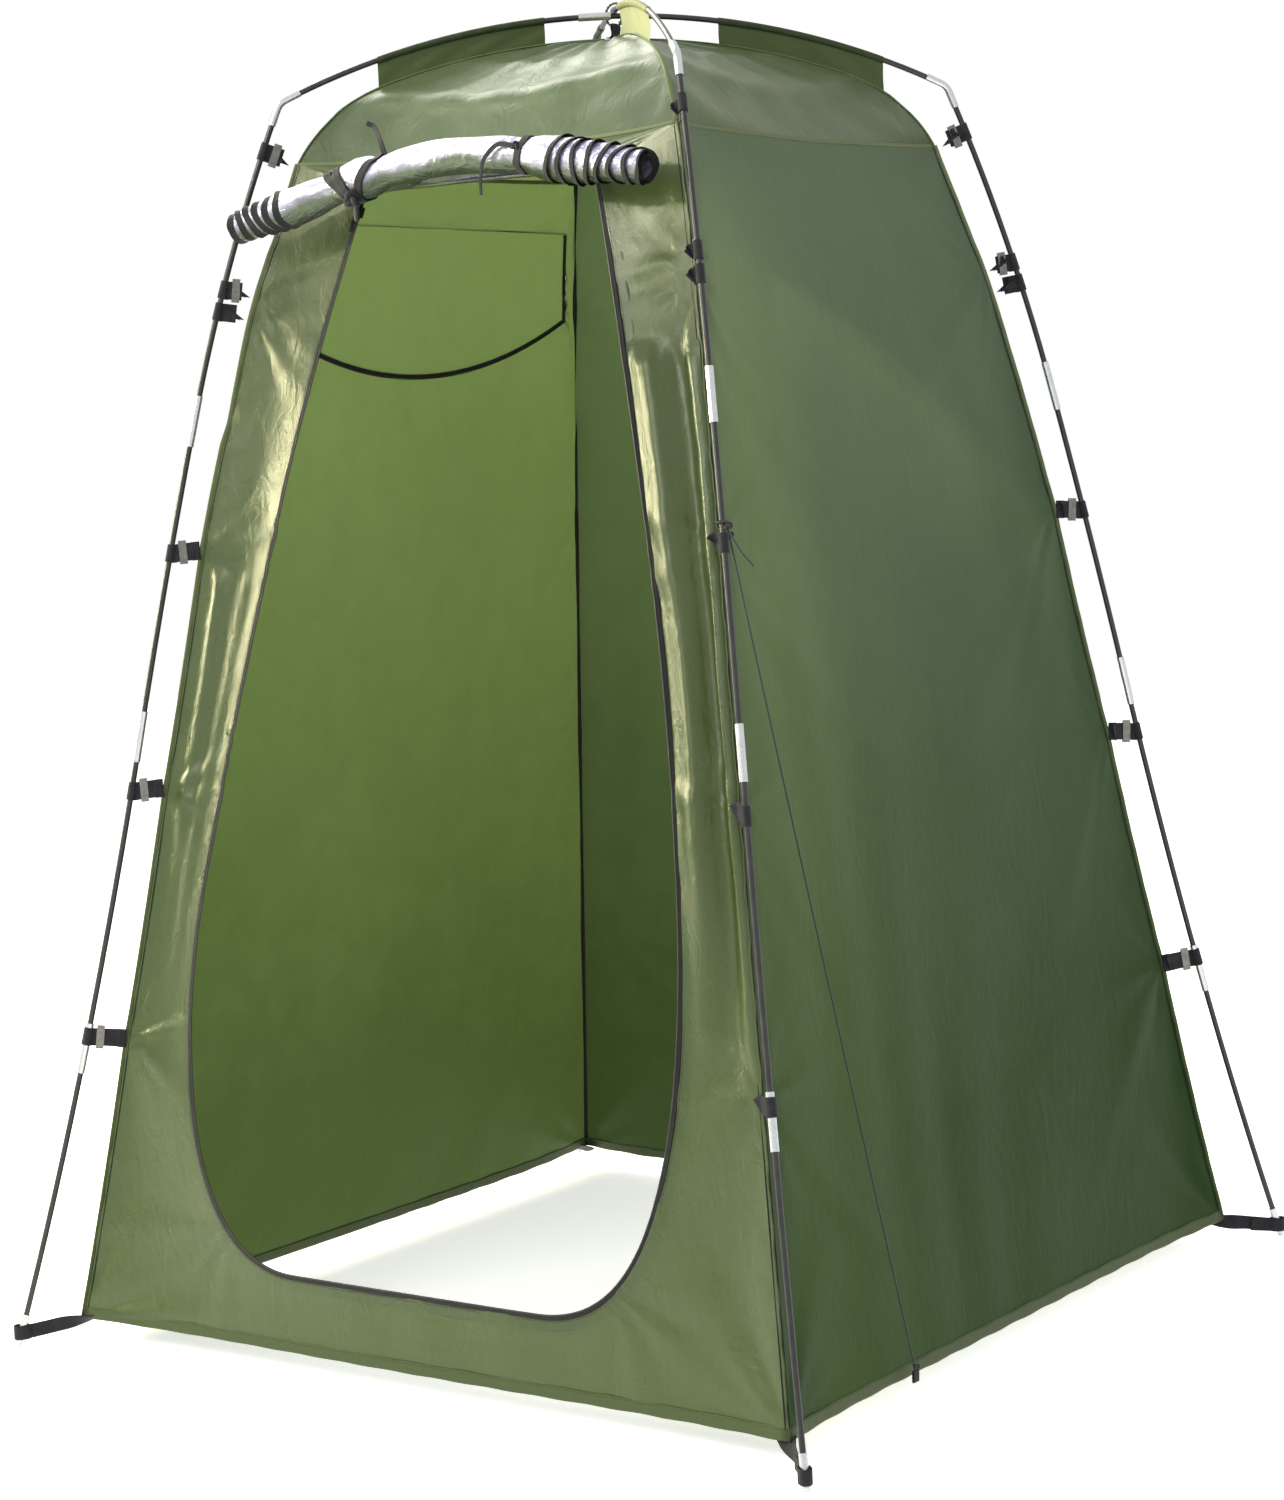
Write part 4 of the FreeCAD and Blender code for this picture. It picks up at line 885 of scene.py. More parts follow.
# The sleeves' copy of the taffeta: darker than the walls, which is painted shade.
PAINTED_SHADE_SLEEVE_GREEN = cloth_material(
    "sleeve_taffeta_painted_shade", (0.024, 0.036, 0.015), (0.034, 0.047, 0.022), (0.10, 0.14, 0.05), 0.15
)
# A pale yellow copy of the taffeta for the front right fin: painted sunlight shining through it.
PAINTED_SUNLIGHT_FIN_GREEN = cloth_material(
    "fin_taffeta_painted_sunlight", (0.24, 0.26, 0.12), (0.29, 0.30, 0.15), (0.80, 0.82, 0.45), 0.5
)
SILVER = silver_material()
WEBBING = webbing_material("black_webbing", (0.010, 0.010, 0.014), (0.05, 0.05, 0.06))
ZIP_TAPE = webbing_material("zip_tape_weave", (0.008, 0.008, 0.009), (0.03, 0.03, 0.03))
POLE_BLACK = plastic_material("black_fibreglass", (0.008, 0.008, 0.009), 0.34, 1500.0, 0.00001, 0.1,
                              (1, 1, 0.05))
BLACK_PLASTIC = plastic_material("moulded_black", (0.014, 0.014, 0.015), 0.42)
ALUMINIUM = metal_material("drawn_aluminium", (0.60, 0.62, 0.63), 0.28)
BUCKLE_METAL = metal_material("plated_steel", (0.20, 0.195, 0.18), 0.30, (1, 1, 1), 0.35)
ZIP_METAL = metal_material("blackened_zinc", (0.06, 0.06, 0.065), 0.36, (1, 1, 1), 0.4)
CORD = cord_material("braided_cord", (0.012, 0.014, 0.012), (0.03, 0.04, 0.03))
ELASTIC = cord_material("elastic_braid", (0.75, 0.75, 0.72), (0.10, 0.10, 0.10))


# ---------------------------------------------------------------- the cabin's cloth pieces

def subdivided(thing):
    """Replaces an object's mesh with itself subdivided once."""
    modifier = thing.modifiers.new("finer", "SUBSURF")
    modifier.levels = 1
    modifier.boundary_smooth = "PRESERVE_CORNERS"
    modifier.uv_smooth = "NONE"
    rough = thing.data
    finer = bpy.data.meshes.new_from_object(thing.evaluated_get(bpy.context.evaluated_depsgraph_get()))
    thing.modifiers.clear()
    thing.data = finer
    finer.name = thing.name
    bpy.data.meshes.remove(rough)


def flats_of(thing):
    """Each vertex's flat place."""
    mesh = thing.data
    corners = np.zeros(len(mesh.loops), np.int32)
    mesh.loops.foreach_get("vertex_index", corners)
    places = np.zeros(len(mesh.loops) * 2, np.float32)
    mesh.uv_layers["flat"].data.foreach_get("uv", places)
    flats = np.zeros((len(mesh.vertices), 2))
    flats[corners] = places.reshape(-1, 2)
    return flats


def rays_from(flats, anchor, count, phase, depth, near, far):
    """Small wrinkles that spread from a point where the cloth is pulled."""
    away = flats - anchor
    size = np.hypot(away[:, 0], away[:, 1])
    angle = np.arctan2(away[:, 1], np.abs(away[:, 0]) + 1e-6)
    wave = np.cos(angle * count + phase) + 0.6 * np.cos(angle * (count * 1.7) + 2.1 * phase)
    return depth * wave * np.clip(size / near, 0, 1) ** 2 * np.exp(-size / far)


def fold(value, middle, width):
    return np.exp(-((value - middle) / width) ** 2)


def wrinkles(cabin, flats, panel):
    """How far each point of a wall stands out of its hanging surface."""
    out = np.zeros(len(flats))
    across, along = flats[:, 0], flats[:, 1]
    hem_reach = cabin.reach(0.0)
    for side in (-1, 1):
        for number, height in enumerate(STRAP_SEAMS[1:]):
            seam = cabin.along(height)
            anchor = np.array([side * cabin.reach(seam), seam])
            phase = 1.3 * number + 0.9 * side + panel
            out += rays_from(flats, anchor, 9, phase, 0.0022, 0.030, 0.075)
        anchor = np.array([side * hem_reach, 0.0])
        out += rays_from(flats, anchor, 8, 0.7 * side + panel, 0.0040, 0.060, 0.150)
    edge = np.clip((cabin.reach(along) - np.abs(across)) / 0.020, 0, 1)
    edge *= np.clip(along / 0.025, 0, 1) * np.clip((cabin.roof - along) / 0.025, 0, 1)
    slow = np.sin(3.1 * along + 2.0 * panel) + 0.7 * np.sin(7.3 * across + 1.9 * along + panel)
    out += 0.0012 * np.sin(34 * across + 3.0 * slow) * (0.5 + 0.5 * np.sin(2.3 * along + slow))
    return out * edge


# The broad folds beside the doorway's right edge: (share of the way to the corner, how far out).
WIDE_FOLDS = (
    (0, 0), (0.28, 0.017), (0.36, 0.018), (0.62, -0.007), (0.70, -0.008), (0.90, 0.009), (0.94, 0.009),
    (1, 0),
)

# The narrow folds: (side, top height, lowest height, depth, where across the strip each one runs).
NARROW_FOLDS = (
    (1, 1.375, 0.42, 0.0030, (0.20, 0.52, 0.86)),
    (-1, 1.10, 0.50, 0.0070, (0.36, 0.70)),
)


def strip_folds(cabin, cloth, flats):
    """The long folds that run down the front beside the doorway."""
    across, along = flats[:, 0], flats[:, 1]
    out = np.zeros(len(flats))
    door = cloth.door_flat
    for side, top, low, depth, middles in NARROW_FOLDS:
        own = across * side > 0
        edge = door[door[:, 0] * side > 0]
        edge = edge[np.argsort(edge[:, 1])]
        inner = np.interp(along, edge[:, 1], np.abs(edge[:, 0]))
        share = (np.abs(across) - inner) / np.maximum(cabin.reach(along) - inner, 0.01)
        start, end = cabin.along(low), cabin.along(top)
        run = np.clip((along - start) / 0.30, 0, 1) * np.clip((end - along) / 0.035, 0, 1)
        for number, middle in enumerate(middles):
            wander = 0.05 * np.sin(4.1 * along + 1.7 * number)
            size = depth * (0.65 + 0.35 * np.sin(5.3 * along + 2.4 * number))
            out += size * fold(share, middle + wander, 0.075) * run * own
        if side > 0:
            swung = np.clip(share + 0.03 * np.sin(6.1 * along) * np.sin(math.pi * share), 0, 1)
            out += np.interp(swung, *np.array(WIDE_FOLDS).T) * run * own
            pleats = np.cos(share * 38) * fold(along, end - 0.03, 0.035)
            out += 0.0018 * pleats * own * np.clip(share * 6, 0, 1)
    return out


def door_bend_folds(cloth, flats):
    """Fan folds where the doorway turns into its sill, and lines under the sill."""
    out = np.zeros(len(flats))
    for side in (-1, 1):
        bend = cloth.door_flat[np.argmax(cloth.door_flat @ np.array([side * 0.7, -0.7]))]
        away = flats - bend
        size = np.hypot(away[:, 0], away[:, 1])
        angle = np.arctan2(-away[:, 1], side * away[:, 0])
        outside = np.clip((angle + 0.3) / 0.3, 0, 1) * np.clip((1.9 - angle) / 0.3, 0, 1)
        reach = np.clip(size / 0.03, 0, 1) * np.exp(-size / 0.11)
        out += 0.0035 * np.cos(9 * angle + side) * reach * outside
    sill = cloth.door_flat[:, 1].min()
    below = np.clip(1 - np.abs(flats[:, 0]) / 0.40, 0, 1) * (flats[:, 1] < sill)
    wave = np.cos(2 * math.pi * (flats[:, 1] + 0.01 * np.sin(9 * flats[:, 0])) / 0.036)
    return out + 0.0012 * wave * below


WALLS = (
    (FRONT, "front_cloth", "front_wall"),
    (RIGHT, "right_cloth", "right_wall"),
    (BACK, "back_cloth", "back_wall"),
    (LEFT, "left_cloth", "left_wall"),
    (ROOF, "roof_cloth", "roof"),
)


def make_walls(cloth):
    """The hung cloth, cut into its panels along their seams."""
    cabin = cloth.cabin
    made = {}
    for panel, name, node in WALLS:
        own = cloth.panels == panel
        corners = cloth.split_faces[own]
        used, faces = np.unique(corners if panel == ROOF else cloth.faces[own], return_inverse=True)
        points = cloth.points[cloth.index[used] if panel == ROOF else used]
        thing = new_object(name, points, faces.reshape(-1, 4), cloth.flat[corners.ravel()])
        subdivided(thing)
        flats = flats_of(thing)
        mesh = thing.data
        if panel == ROOF:
            out = roof_folds(cabin, flats)
        else:
            out = wrinkles(cabin, flats, panel)
        if panel == FRONT:
            out += strip_folds(cabin, cloth, flats) + door_bend_folds(cloth, flats)
        moved = points_of(thing) + points_of(thing, "normal") * out[:, None]
        mesh.vertices.foreach_set("co", moved.astype(np.float32).ravel())
        mesh.update()
        mesh.materials.append({FRONT: PAINTED_LIGHT_FRONT_GREEN, ROOF: PAINTED_SHADE_ROOF_GREEN}.get(panel, GREEN))
        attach(thing, "tent")
        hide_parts(node)
        made[panel] = thing
    return made


def roof_folds(cabin, flats):
    """Soft gathers that run down the roof from the crown."""
    across, along = flats[:, 0], flats[:, 1]
    share = across / np.maximum(cabin.reach(along), 0.01)
    span = (along - cabin.roof) / (cabin.total - cabin.roof)
    ends = np.clip(span / 0.08, 0, 1) * np.clip((1 - span) / 0.1, 0, 1)
    ends *= np.clip((1 - np.abs(share)) / 0.1, 0, 1)
    gathers = np.cos(share * 17 + 1.2 * np.sin(9 * span)) * (0.35 + 0.65 * span)
    return 0.0022 * gathers * ends


def declare_sheets(cloth, walls):
    """Every wall's cut: its width at the hem by its height up the slope, and its true flat area.

    The front's cut has the facing too, which is folded double round the doorway.
    """
    cabin = cloth.cabin
    for panel, thing in walls.items():
        if panel == ROOF:
            flat = (8 * float(cabin.reach(cabin.roof)), cabin.total - cabin.roof)
        else:
            flat = (2 * float(cabin.reach(0.0)), cabin.roof)
        area = cloth.flat_area(panel)
        if panel == FRONT:
            area += 2 * FACING_WIDTH * float(run_of(cloth.points[cloth.door], True)[-1])
        print(f"{thing.name}: flat {flat[0]:.3f} by {flat[1]:.3f} m, area {area:.3f} m2")


# ---------------------------------------------------------------- seams, zips and hem

FACING_WIDTH = 0.017
FACING_THICKNESS, FACING_DEPTH = 0.0014, 0.0016
ZIP_WIDTH, ZIP_THICKNESS = 0.0064, 0.0016
COIL_RADIUS, COIL_STEP = 0.0013, 0.0011
STITCH_RADIUS, STITCH_LENGTH, STITCH_STEP = 0.0003, 0.004, 0.006
SLEEVE_GAP = 0.0010  # the room between a roof pole and its sleeve

# The seams and tapes as (width, thickness).
HEM_TAPE = (0.0170, 0.0030)
CORNER_SEAM = (0.0052, 0.0014)
CORNER_TAPE = (0.0075, 0.0010)
ROOF_SEAM = (0.0060, 0.0018)


class Border:
    """A line along the hung cloth with its direction, outward normal and inward direction."""

    def __init__(self, points, normals, closed=False, spacing=None):
        if spacing is not None:
            ends = (points[:1], normals[:1]) if closed else (points[:0], normals[:0])
            run = run_of(points, closed)
            count = int(run[-1] / spacing)
            wanted = np.linspace(0, run[-1], count + 1)[: count if closed else count + 1]
            points = read_off(wanted, run, np.concatenate([points, ends[0]]))
            normals = read_off(wanted, run, np.concatenate([normals, ends[1]]))
        self.points = points
        self.ways = directions(points, closed)
        self.inward = unit(np.cross(normals, self.ways))
        self.normals = np.cross(self.ways, self.inward)

    def moved(self, inward, out=0.0):
        return self.points + self.inward * inward + self.normals * out


def border_of(cloth, normals, spots, closed=False, spacing=None):
    return Border(cloth.points[spots], normals[spots], closed, spacing)


def zip_piece(name, border, node):
    """Zip tape sewn along a cloth edge, with its coil of teeth."""
    piece = Piece(name)
    piece.band(border.moved(0.0015), border.inward, ZIP_WIDTH, ZIP_THICKNESS, cells=4)
    fine = Border(border.points, border.normals, spacing=COIL_STEP)
    teeth = 1 + 0.22 * np.where(np.arange(len(fine.points)) % 2, 1.0, -1.0)
    piece.tube(fine.moved(0.0052), COIL_RADIUS, 6, scale=teeth, slot=1)
    return piece.make("tent", "zip_tape", [ZIP_TAPE, BLACK_PLASTIC], [node])


def stitch_row(piece, border, inward, out):
    """A row of stitches, in the piece's second material, that lies just proud of the cloth."""
    run = run_of(border.points)
    line = border.moved(inward, out)
    for start in np.arange(STITCH_STEP, run[-1] - STITCH_STEP, STITCH_STEP):
        span = np.array([start, start + STITCH_LENGTH / 2, start + STITCH_LENGTH])
        piece.tube(read_off(span, run, line), STITCH_RADIUS, 4, slot=1)


def make_door_edge(cloth, normals):
    """The doorway's zip, and the facing of folded cloth behind it."""
    columns, rows = HEM_COLUMNS, SEAM_ROWS
    spots = np.concatenate([cloth.door[2 * columns + rows:], cloth.door[: columns + rows + 1]])
    border = border_of(cloth, normals, spots, spacing=0.006)
    zipped = zip_piece("door_zip_coil", border, "door_zip")
    top = border_of(cloth, normals, cloth.door[columns + rows: 2 * columns + rows + 1], spacing=0.006)
    facing = Piece("door_facing")
    for edge in (border, top):
        line = edge.moved(-FACING_WIDTH / 2, -FACING_DEPTH)
        facing.band(line, edge.inward, FACING_WIDTH, FACING_THICKNESS, cells=4)
        if edge is border:
            stitch_row(facing, edge, -0.0035, 0.0008)
    return zipped, facing.make("tent", "green_cloth", [PAINTED_LIGHT_FRONT_GREEN, SEAM_GREEN])


def window_sides(cloth):
    """The window opening's edge: bottom, right, top and left, each from left to right or upwards."""
    columns, rows = HEM_COLUMNS, cloth.window_rows
    loop = np.concatenate([cloth.window, cloth.window[:1]])
    ends = np.cumsum([0, columns, rows, columns, rows])
    bottom, right, top, left = (loop[a: b + 1] for a, b in zip(ends, ends[1:]))
    return bottom, right, top[::-1], left[::-1]


def coons(bottom, right, top, left):
    """A surface spanned between four edges."""
    across = np.linspace(0, 1, len(bottom))[None, :, None]
    up = np.linspace(0, 1, len(left))[:, None, None]
    ruled = bottom[None] * (1 - up) + top[None] * up + left[:, None] * (1 - across) + right[:, None] * across
    low = bottom[0] * (1 - across) + bottom[-1] * across
    high = top[0] * (1 - across) + top[-1] * across
    return ruled - low * (1 - up) - high * up


def make_window(cloth, normals):
    """The window's zip round its sides and arc, and the cloth flap that it closes."""
    bottom, right, top, left = window_sides(cloth)
    spots = np.concatenate([left[::-1], bottom[1:], right[1:]])
    border = border_of(cloth, normals, spots, spacing=0.004)
    zipped = zip_piece("window_zip_coil", border, "window_zip")
    points = coons(*[cloth.points[edge] for edge in (bottom, right, top, left)])
    starts = coons(*[cloth.start[edge] for edge in (bottom, right, top, left)])
    lean = 0.2  # how far the wall leans in at the window, in radians
    flats = np.stack([starts[..., 1], starts[..., 2] / math.cos(lean)], -1)
    gap = 0.0055
    middle = points[..., 1].mean()
    shrunk = points + (points[-1] - points) * gap / np.ptp(points[..., 2])
    shrunk[..., 1] = middle + (shrunk[..., 1] - middle) * (1 - 2 * gap / np.ptp(points[..., 1]))
    shrunk[-1] = points[-1] + [-0.0012, 0, 0.0025]
    rows = np.linspace(0, 1, len(left))[:, None]
    columns = np.linspace(0, 1, len(bottom))[None, :]
    sag = np.sin(math.pi * rows) * np.sin(math.pi * columns)
    folds = np.sin(21 * columns + 5 * rows) * np.sin(math.pi * rows) * np.sin(math.pi * columns)
    shrunk[..., 0] -= 0.003 * sag + 0.0014 * folds
    flap = Piece("window_flap_cloth")
    flap.grid(shrunk, flats)
    thing = flap.make("window_flap", "green_cloth", [GREEN], ["window_flap"])
    return zipped


def make_hem_binding(cloth, normals):
    """A folded tape all round the cabin's lower edge, with its row of stitches."""
    border = border_of(cloth, normals, cloth.level_ring(0.0), closed=True)
    piece = Piece("hem_tape")
    run = run_of(border.points, True)[:-1]
    puckers = 1 + 0.05 * np.sin(run * 2 * math.pi / 0.021) + 0.04 * np.sin(run * 2 * math.pi / 0.083)
    piece.band(border.moved(0.0070), border.inward, *HEM_TAPE, closed=True, cells=6, scale=puckers)
    stitch_row(piece, Border(border.points, border.normals), 0.0125, 0.0016)
    return piece.make("tent", "hem_cloth", [HEM_GREEN, SEAM_GREEN], ["hem_binding"])


def make_seams(cloth, normals, legs):
    """The folded seams at the corners, hips and roof edge, and the black tape inside the corners."""
    seams, tapes = Piece("folded_seams"), Piece("corner_tapes")
    for name, leg in legs.items():
        line = cloth.points[cloth.corner(name)]
        path = resampled(line, 200)
        height = path[:, 2]
        wave = 0.0006 * np.sin(height * 71) + 0.0004 * np.sin(height * 163)
        seams.band(path + leg.out * 0.0018 + leg.side * wave[:, None], leg.out, *CORNER_SEAM, cells=3)
        tapes.band(path - leg.out * 0.0035, leg.side, *CORNER_TAPE, cells=3)
        hip = resampled(cloth.points[cloth.hip(name)][:-1], 60)
        seams.band(hip + UP * 0.0008, leg.side, *ROOF_SEAM, cells=3)
    edge = border_of(cloth, normals, cloth.level_ring(cloth.cabin.roof), closed=True)
    seams.band(edge.moved(0.0, 0.0002), edge.inward, *ROOF_SEAM, closed=True, cells=4)
    seams.make("tent", "green_cloth", [SEAM_GREEN])
    tapes.make("tent", "zip_tape", [ZIP_TAPE])


def make_sleeves(cloth, legs):
    """Each roof sleeve: a tube of cloth round the roof pole on a fin sewn to the hip."""
    piece = Piece("sleeve_cloth")
    area, length = 0.0, 0.0
    for shell, leg in pole_shells(legs):
        reaches = leg.local(shell)[:, 0]
        span = np.linspace(reaches.min() + 0.002, reaches.max() - 0.002, 61)
        hip = leg.local(cloth.points[cloth.hip(leg.name)])
        hip = hip[np.argsort(hip[:, 0])]
        pole = np.array([leg.roof_pole(reach) for reach in span])
        seam = np.interp(span, hip[:, 0], hip[:, 1]) + 0.001
        gap = POLE_RADIUS + SLEEVE_GAP
        share = np.linspace(0, 1, 9)[None, :]
        height = seam[:, None] * (1 - share) + (pole - gap)[:, None] * share
        along = np.linspace(0, 1, len(span))[:, None]
        lean = 0.0022 * np.sin(math.pi * share) * np.sin(19 * along + 3 * share)
        fin = leg.place(span[:, None], height, lean)
        flats = np.stack([span[:, None] + 0 * share, height], -1)
        # The front right fin takes the pale copy of the taffeta: painted sunlight.
        sunlit = int(leg.name == "fr")
        piece.grid(fin, flats, sunlit)
        around = np.linspace(-math.pi / 2, 1.5 * math.pi, 15)[None, :]
        puff = gap * (1 + 0.10 * np.sin(41 * along) * np.cos(around) ** 2)
        tube = leg.place(
            span[:, None] + 0 * around, pole[:, None] + puff * np.sin(around), puff * np.cos(around)
        )
        piece.grid(tube, np.stack([span[:, None] + 0 * around, gap * around + 0 * along], -1), sunlit)
        area += float(np.trapz(pole - gap - seam, span)) + 2 * math.pi * gap * np.ptp(span)
        length += float(np.ptp(span))
    thing = piece.make("tent", "green_cloth", [PAINTED_SHADE_SLEEVE_GREEN, PAINTED_SUNLIGHT_FIN_GREEN], ["pole_sleeves"])


def pole_shells(legs):
    """Each sleeve's CAD shell with the leg that it lies over."""
    for shell in shells("pole_sleeves"):
        middle = shell.mean(0)
        yield shell, max(legs.values(), key=lambda leg: float(middle @ leg.out))


# ---------------------------------------------------------------- the rolled door

# The roll's middle line, from its left end to its right one.
ROLL_LINE = ((-0.362, -0.416, 1.560), (-0.020, -0.386, 1.629), (0.325, -0.392, 1.590))
ROLL_RADIUS = 0.0275
ROLL_TURNS = 12
ROLL_CORE = 0.42  # the hollow core's share of the radius
TURN_STEPS = 26
LEFT_STEP, RIGHT_STEP = 0.134, 0.215  # the share of the length that the turns step in over at each end
LEFT_TURNS, RIGHT_TURNS = 5.5, 7.5  # how many of the turns step in
LEFT_TAPE, RIGHT_TAPE = 0.010, 0.007  # the zip tape's width at each end
TIE_WIDTH, TIE_THICKNESS = 0.012, 0.0014
TIES = (0.26, 0.37, 0.715)  # where along the roll the ties draw it in

# How full the roll is along its length: (share of the length, share of the full radius).
ROLL_SHAPE = (
    (0.00, 1.02), (0.13, 0.98), (0.20, 0.94), (0.26, 0.78), (0.285, 0.97), (0.315, 1.08), (0.345, 1.02),
    (0.37, 0.80), (0.42, 0.93), (0.55, 0.95), (0.66, 0.94), (0.715, 0.84), (0.76, 1.12), (0.90, 1.20),
    (1.00, 1.24),
)


class Roll:
    """The rolled door: a middle line with its upward and forward directions, and a radius all round."""

    def __init__(self):
        self.line = smooth_line(ROLL_LINE, 300)
        self.length = float(run_of(self.line)[-1])
        ways = directions(self.line)
        ways_up = unit(UP - ways * (ways @ UP)[:, None])
        self.ways, self.ups = ways, ways_up
        self.forwards = unit(np.cross(ways, ways_up))
        if self.forwards[0][1] > 0:
            self.forwards = -self.forwards

    def at(self, values, share):
        return read_off(share, np.linspace(0, 1, len(values)), values)

    def radius(self, share, angle):
        """The roll's outside radius: full between its ties, with folds that run into them."""
        shares, sizes = np.array(ROLL_SHAPE).T
        full = np.interp(share, shares, sizes)
        lumps = 0.035 * np.sin(2 * angle + 13 * share) * np.sin(23 * share + 1)
        lumps = lumps + 0.022 * np.sin(3 * angle - 31 * share)
        for tie in TIES:
            near = np.exp(-np.abs(share - tie) / 0.045)
            lumps = lumps + 0.040 * np.cos(7 * angle + 40 * tie) * near
        return ROLL_RADIUS * full * (1 + lumps - 0.03)

    def place(self, share, angle, radius):
        """A point round the roll: angle 0 is forwards and a quarter turn is up."""
        share, angle, radius = np.broadcast_arrays(share, angle, radius)
        way = self.at(self.forwards, share) * np.cos(angle)[..., None]
        way = way + self.at(self.ups, share) * np.sin(angle)[..., None]
        return self.at(self.line, share) + way * radius[..., None]


def make_roll(cloth, roll):
    """The door's cloth wound up with its coating outside, and the strip that it still hangs by."""
    total = ROLL_TURNS * TURN_STEPS
    turn = np.arange(total + 1) / TURN_STEPS
    angle = -math.pi - 2 * math.pi * turn + 2 * math.pi * ROLL_TURNS
    size = ROLL_CORE + (1 - ROLL_CORE) * turn / ROLL_TURNS
    left = LEFT_STEP * np.clip((turn - (ROLL_TURNS - LEFT_TURNS)) / LEFT_TURNS, 0, 1)
    right = 1 - RIGHT_STEP * np.clip((turn - (ROLL_TURNS - RIGHT_TURNS)) / RIGHT_TURNS, 0, 1)
    left += 0.004 * np.sin(2 * angle + 1.1 * turn)
    right += 0.004 * np.sin(2 * angle + 1.7 * turn)
    left_tape, right_tape = LEFT_TAPE / roll.length, RIGHT_TAPE / roll.length
    inner = np.linspace(0, 1, 121)[None, :]
    first, last = left[:, None] + left_tape, right[:, None] - right_tape
    shares = np.concatenate(
        [left[:, None], left[:, None] + left_tape / 2, first + (last - first) * inner,
         right[:, None] - right_tape / 2, right[:, None]], axis=1
    )
    rim = np.exp(-(shares - left[:, None]) / 0.011) + np.exp(-(right[:, None] - shares) / 0.011)
    flare = 1 + 0.09 * rim + 0.05 * rim * np.sin(3 * angle[:, None] + 1.3 * turn[:, None])
    radius = roll.radius(shares, angle[:, None] % (2 * math.pi)) * size[:, None] * flare
    points = roll.place(shares, angle[:, None], radius)
    cut = run_of(points[:, shares.shape[1] // 2])
    flats = np.stack([shares * roll.length, cut[:, None] + 0 * shares], -1)

    top = cloth.points[cloth.door[HEM_COLUMNS + SEAM_ROWS: 2 * HEM_COLUMNS + SEAM_ROWS + 1]][::-1]
    edge = resampled(top, shares.shape[1] - 1) + np.array([0, -0.001, 0.002])
    steps = np.linspace(0, 1, 13)[1:, None, None]
    outward = roll.place(shares[-1], angle[-1], radius[-1]) - roll.at(roll.line, shares[-1])
    bulge = np.sin(math.pi * steps) * (0.012 * unit(outward) - 0.006 * UP)
    strip = points[-1] * (1 - steps) + edge * steps + bulge
    strip_cut = cut[-1] + steps[..., 0] * float(np.linalg.norm(edge - points[-1], axis=1).mean())
    strip_flats = np.stack([shares[-1] * roll.length + 0 * strip_cut, strip_cut + 0 * shares[-1]], -1)

    piece = Piece("rolled_door")
    whole = np.concatenate([points, strip])
    whole_flats = np.concatenate([flats, strip_flats])
    piece.grid(whole, whole_flats)
    columns = np.arange(len(piece.faces)) % (shares.shape[1] - 1)
    taped = (columns < 2) | (columns >= shares.shape[1] - 3)
    piece.slots = [int(t) for t in taped]
    thing = piece.make("door_roll", "silver_lining", [SILVER, ZIP_TAPE], ["door_roll"])


def tie_band(piece, roll, high_share, low_share):
    """Tape once round the roll, leaning from where it passes over to where it passes under."""
    angles = np.linspace(0, 2 * math.pi, 72, endpoint=False)
    shares = low_share + (high_share - low_share) * (1 + np.sin(angles)) / 2
    path = roll.place(shares, angles, roll.radius(shares, angles) + TIE_THICKNESS)
    outward = unit(path - roll.at(roll.line, shares))
    sides = unit(np.cross(directions(path, True), outward))
    piece.band(path, sides, TIE_WIDTH, TIE_THICKNESS, closed=True, cells=6)


def tail(piece, points, first_side, width, last_width=None):
    """A loose end of tape through given points."""
    path = smooth_line(points, 26)
    side = np.asarray(first_side, float)
    sides = []
    for way in directions(path):
        side = unit(side - way * np.dot(way, side))
        sides.append(side)
    shares = np.linspace(1, (last_width or width) / width, len(path))
    piece.band(path, np.array(sides), width, TIE_THICKNESS, cells=6, scale=shares)


def knot(piece, middle, size, way, radius):
    """A tight overhand knot that faces a direction."""
    way = unit(np.asarray(way, float))
    across = unit(np.cross(way, [0.31, 0.2, 0.93]))
    up = np.cross(way, across)
    t = np.linspace(0, 2 * math.pi, 60, endpoint=False)
    x = np.sin(t) + 2 * np.sin(2 * t)
    y = np.cos(t) - 2 * np.cos(2 * t)
    z = -np.sin(3 * t)
    path = (x[:, None] * across + y[:, None] * up + 1.3 * z[:, None] * way) * size / 3
    piece.tube(np.asarray(middle, float) + path, radius, 8, closed=True)


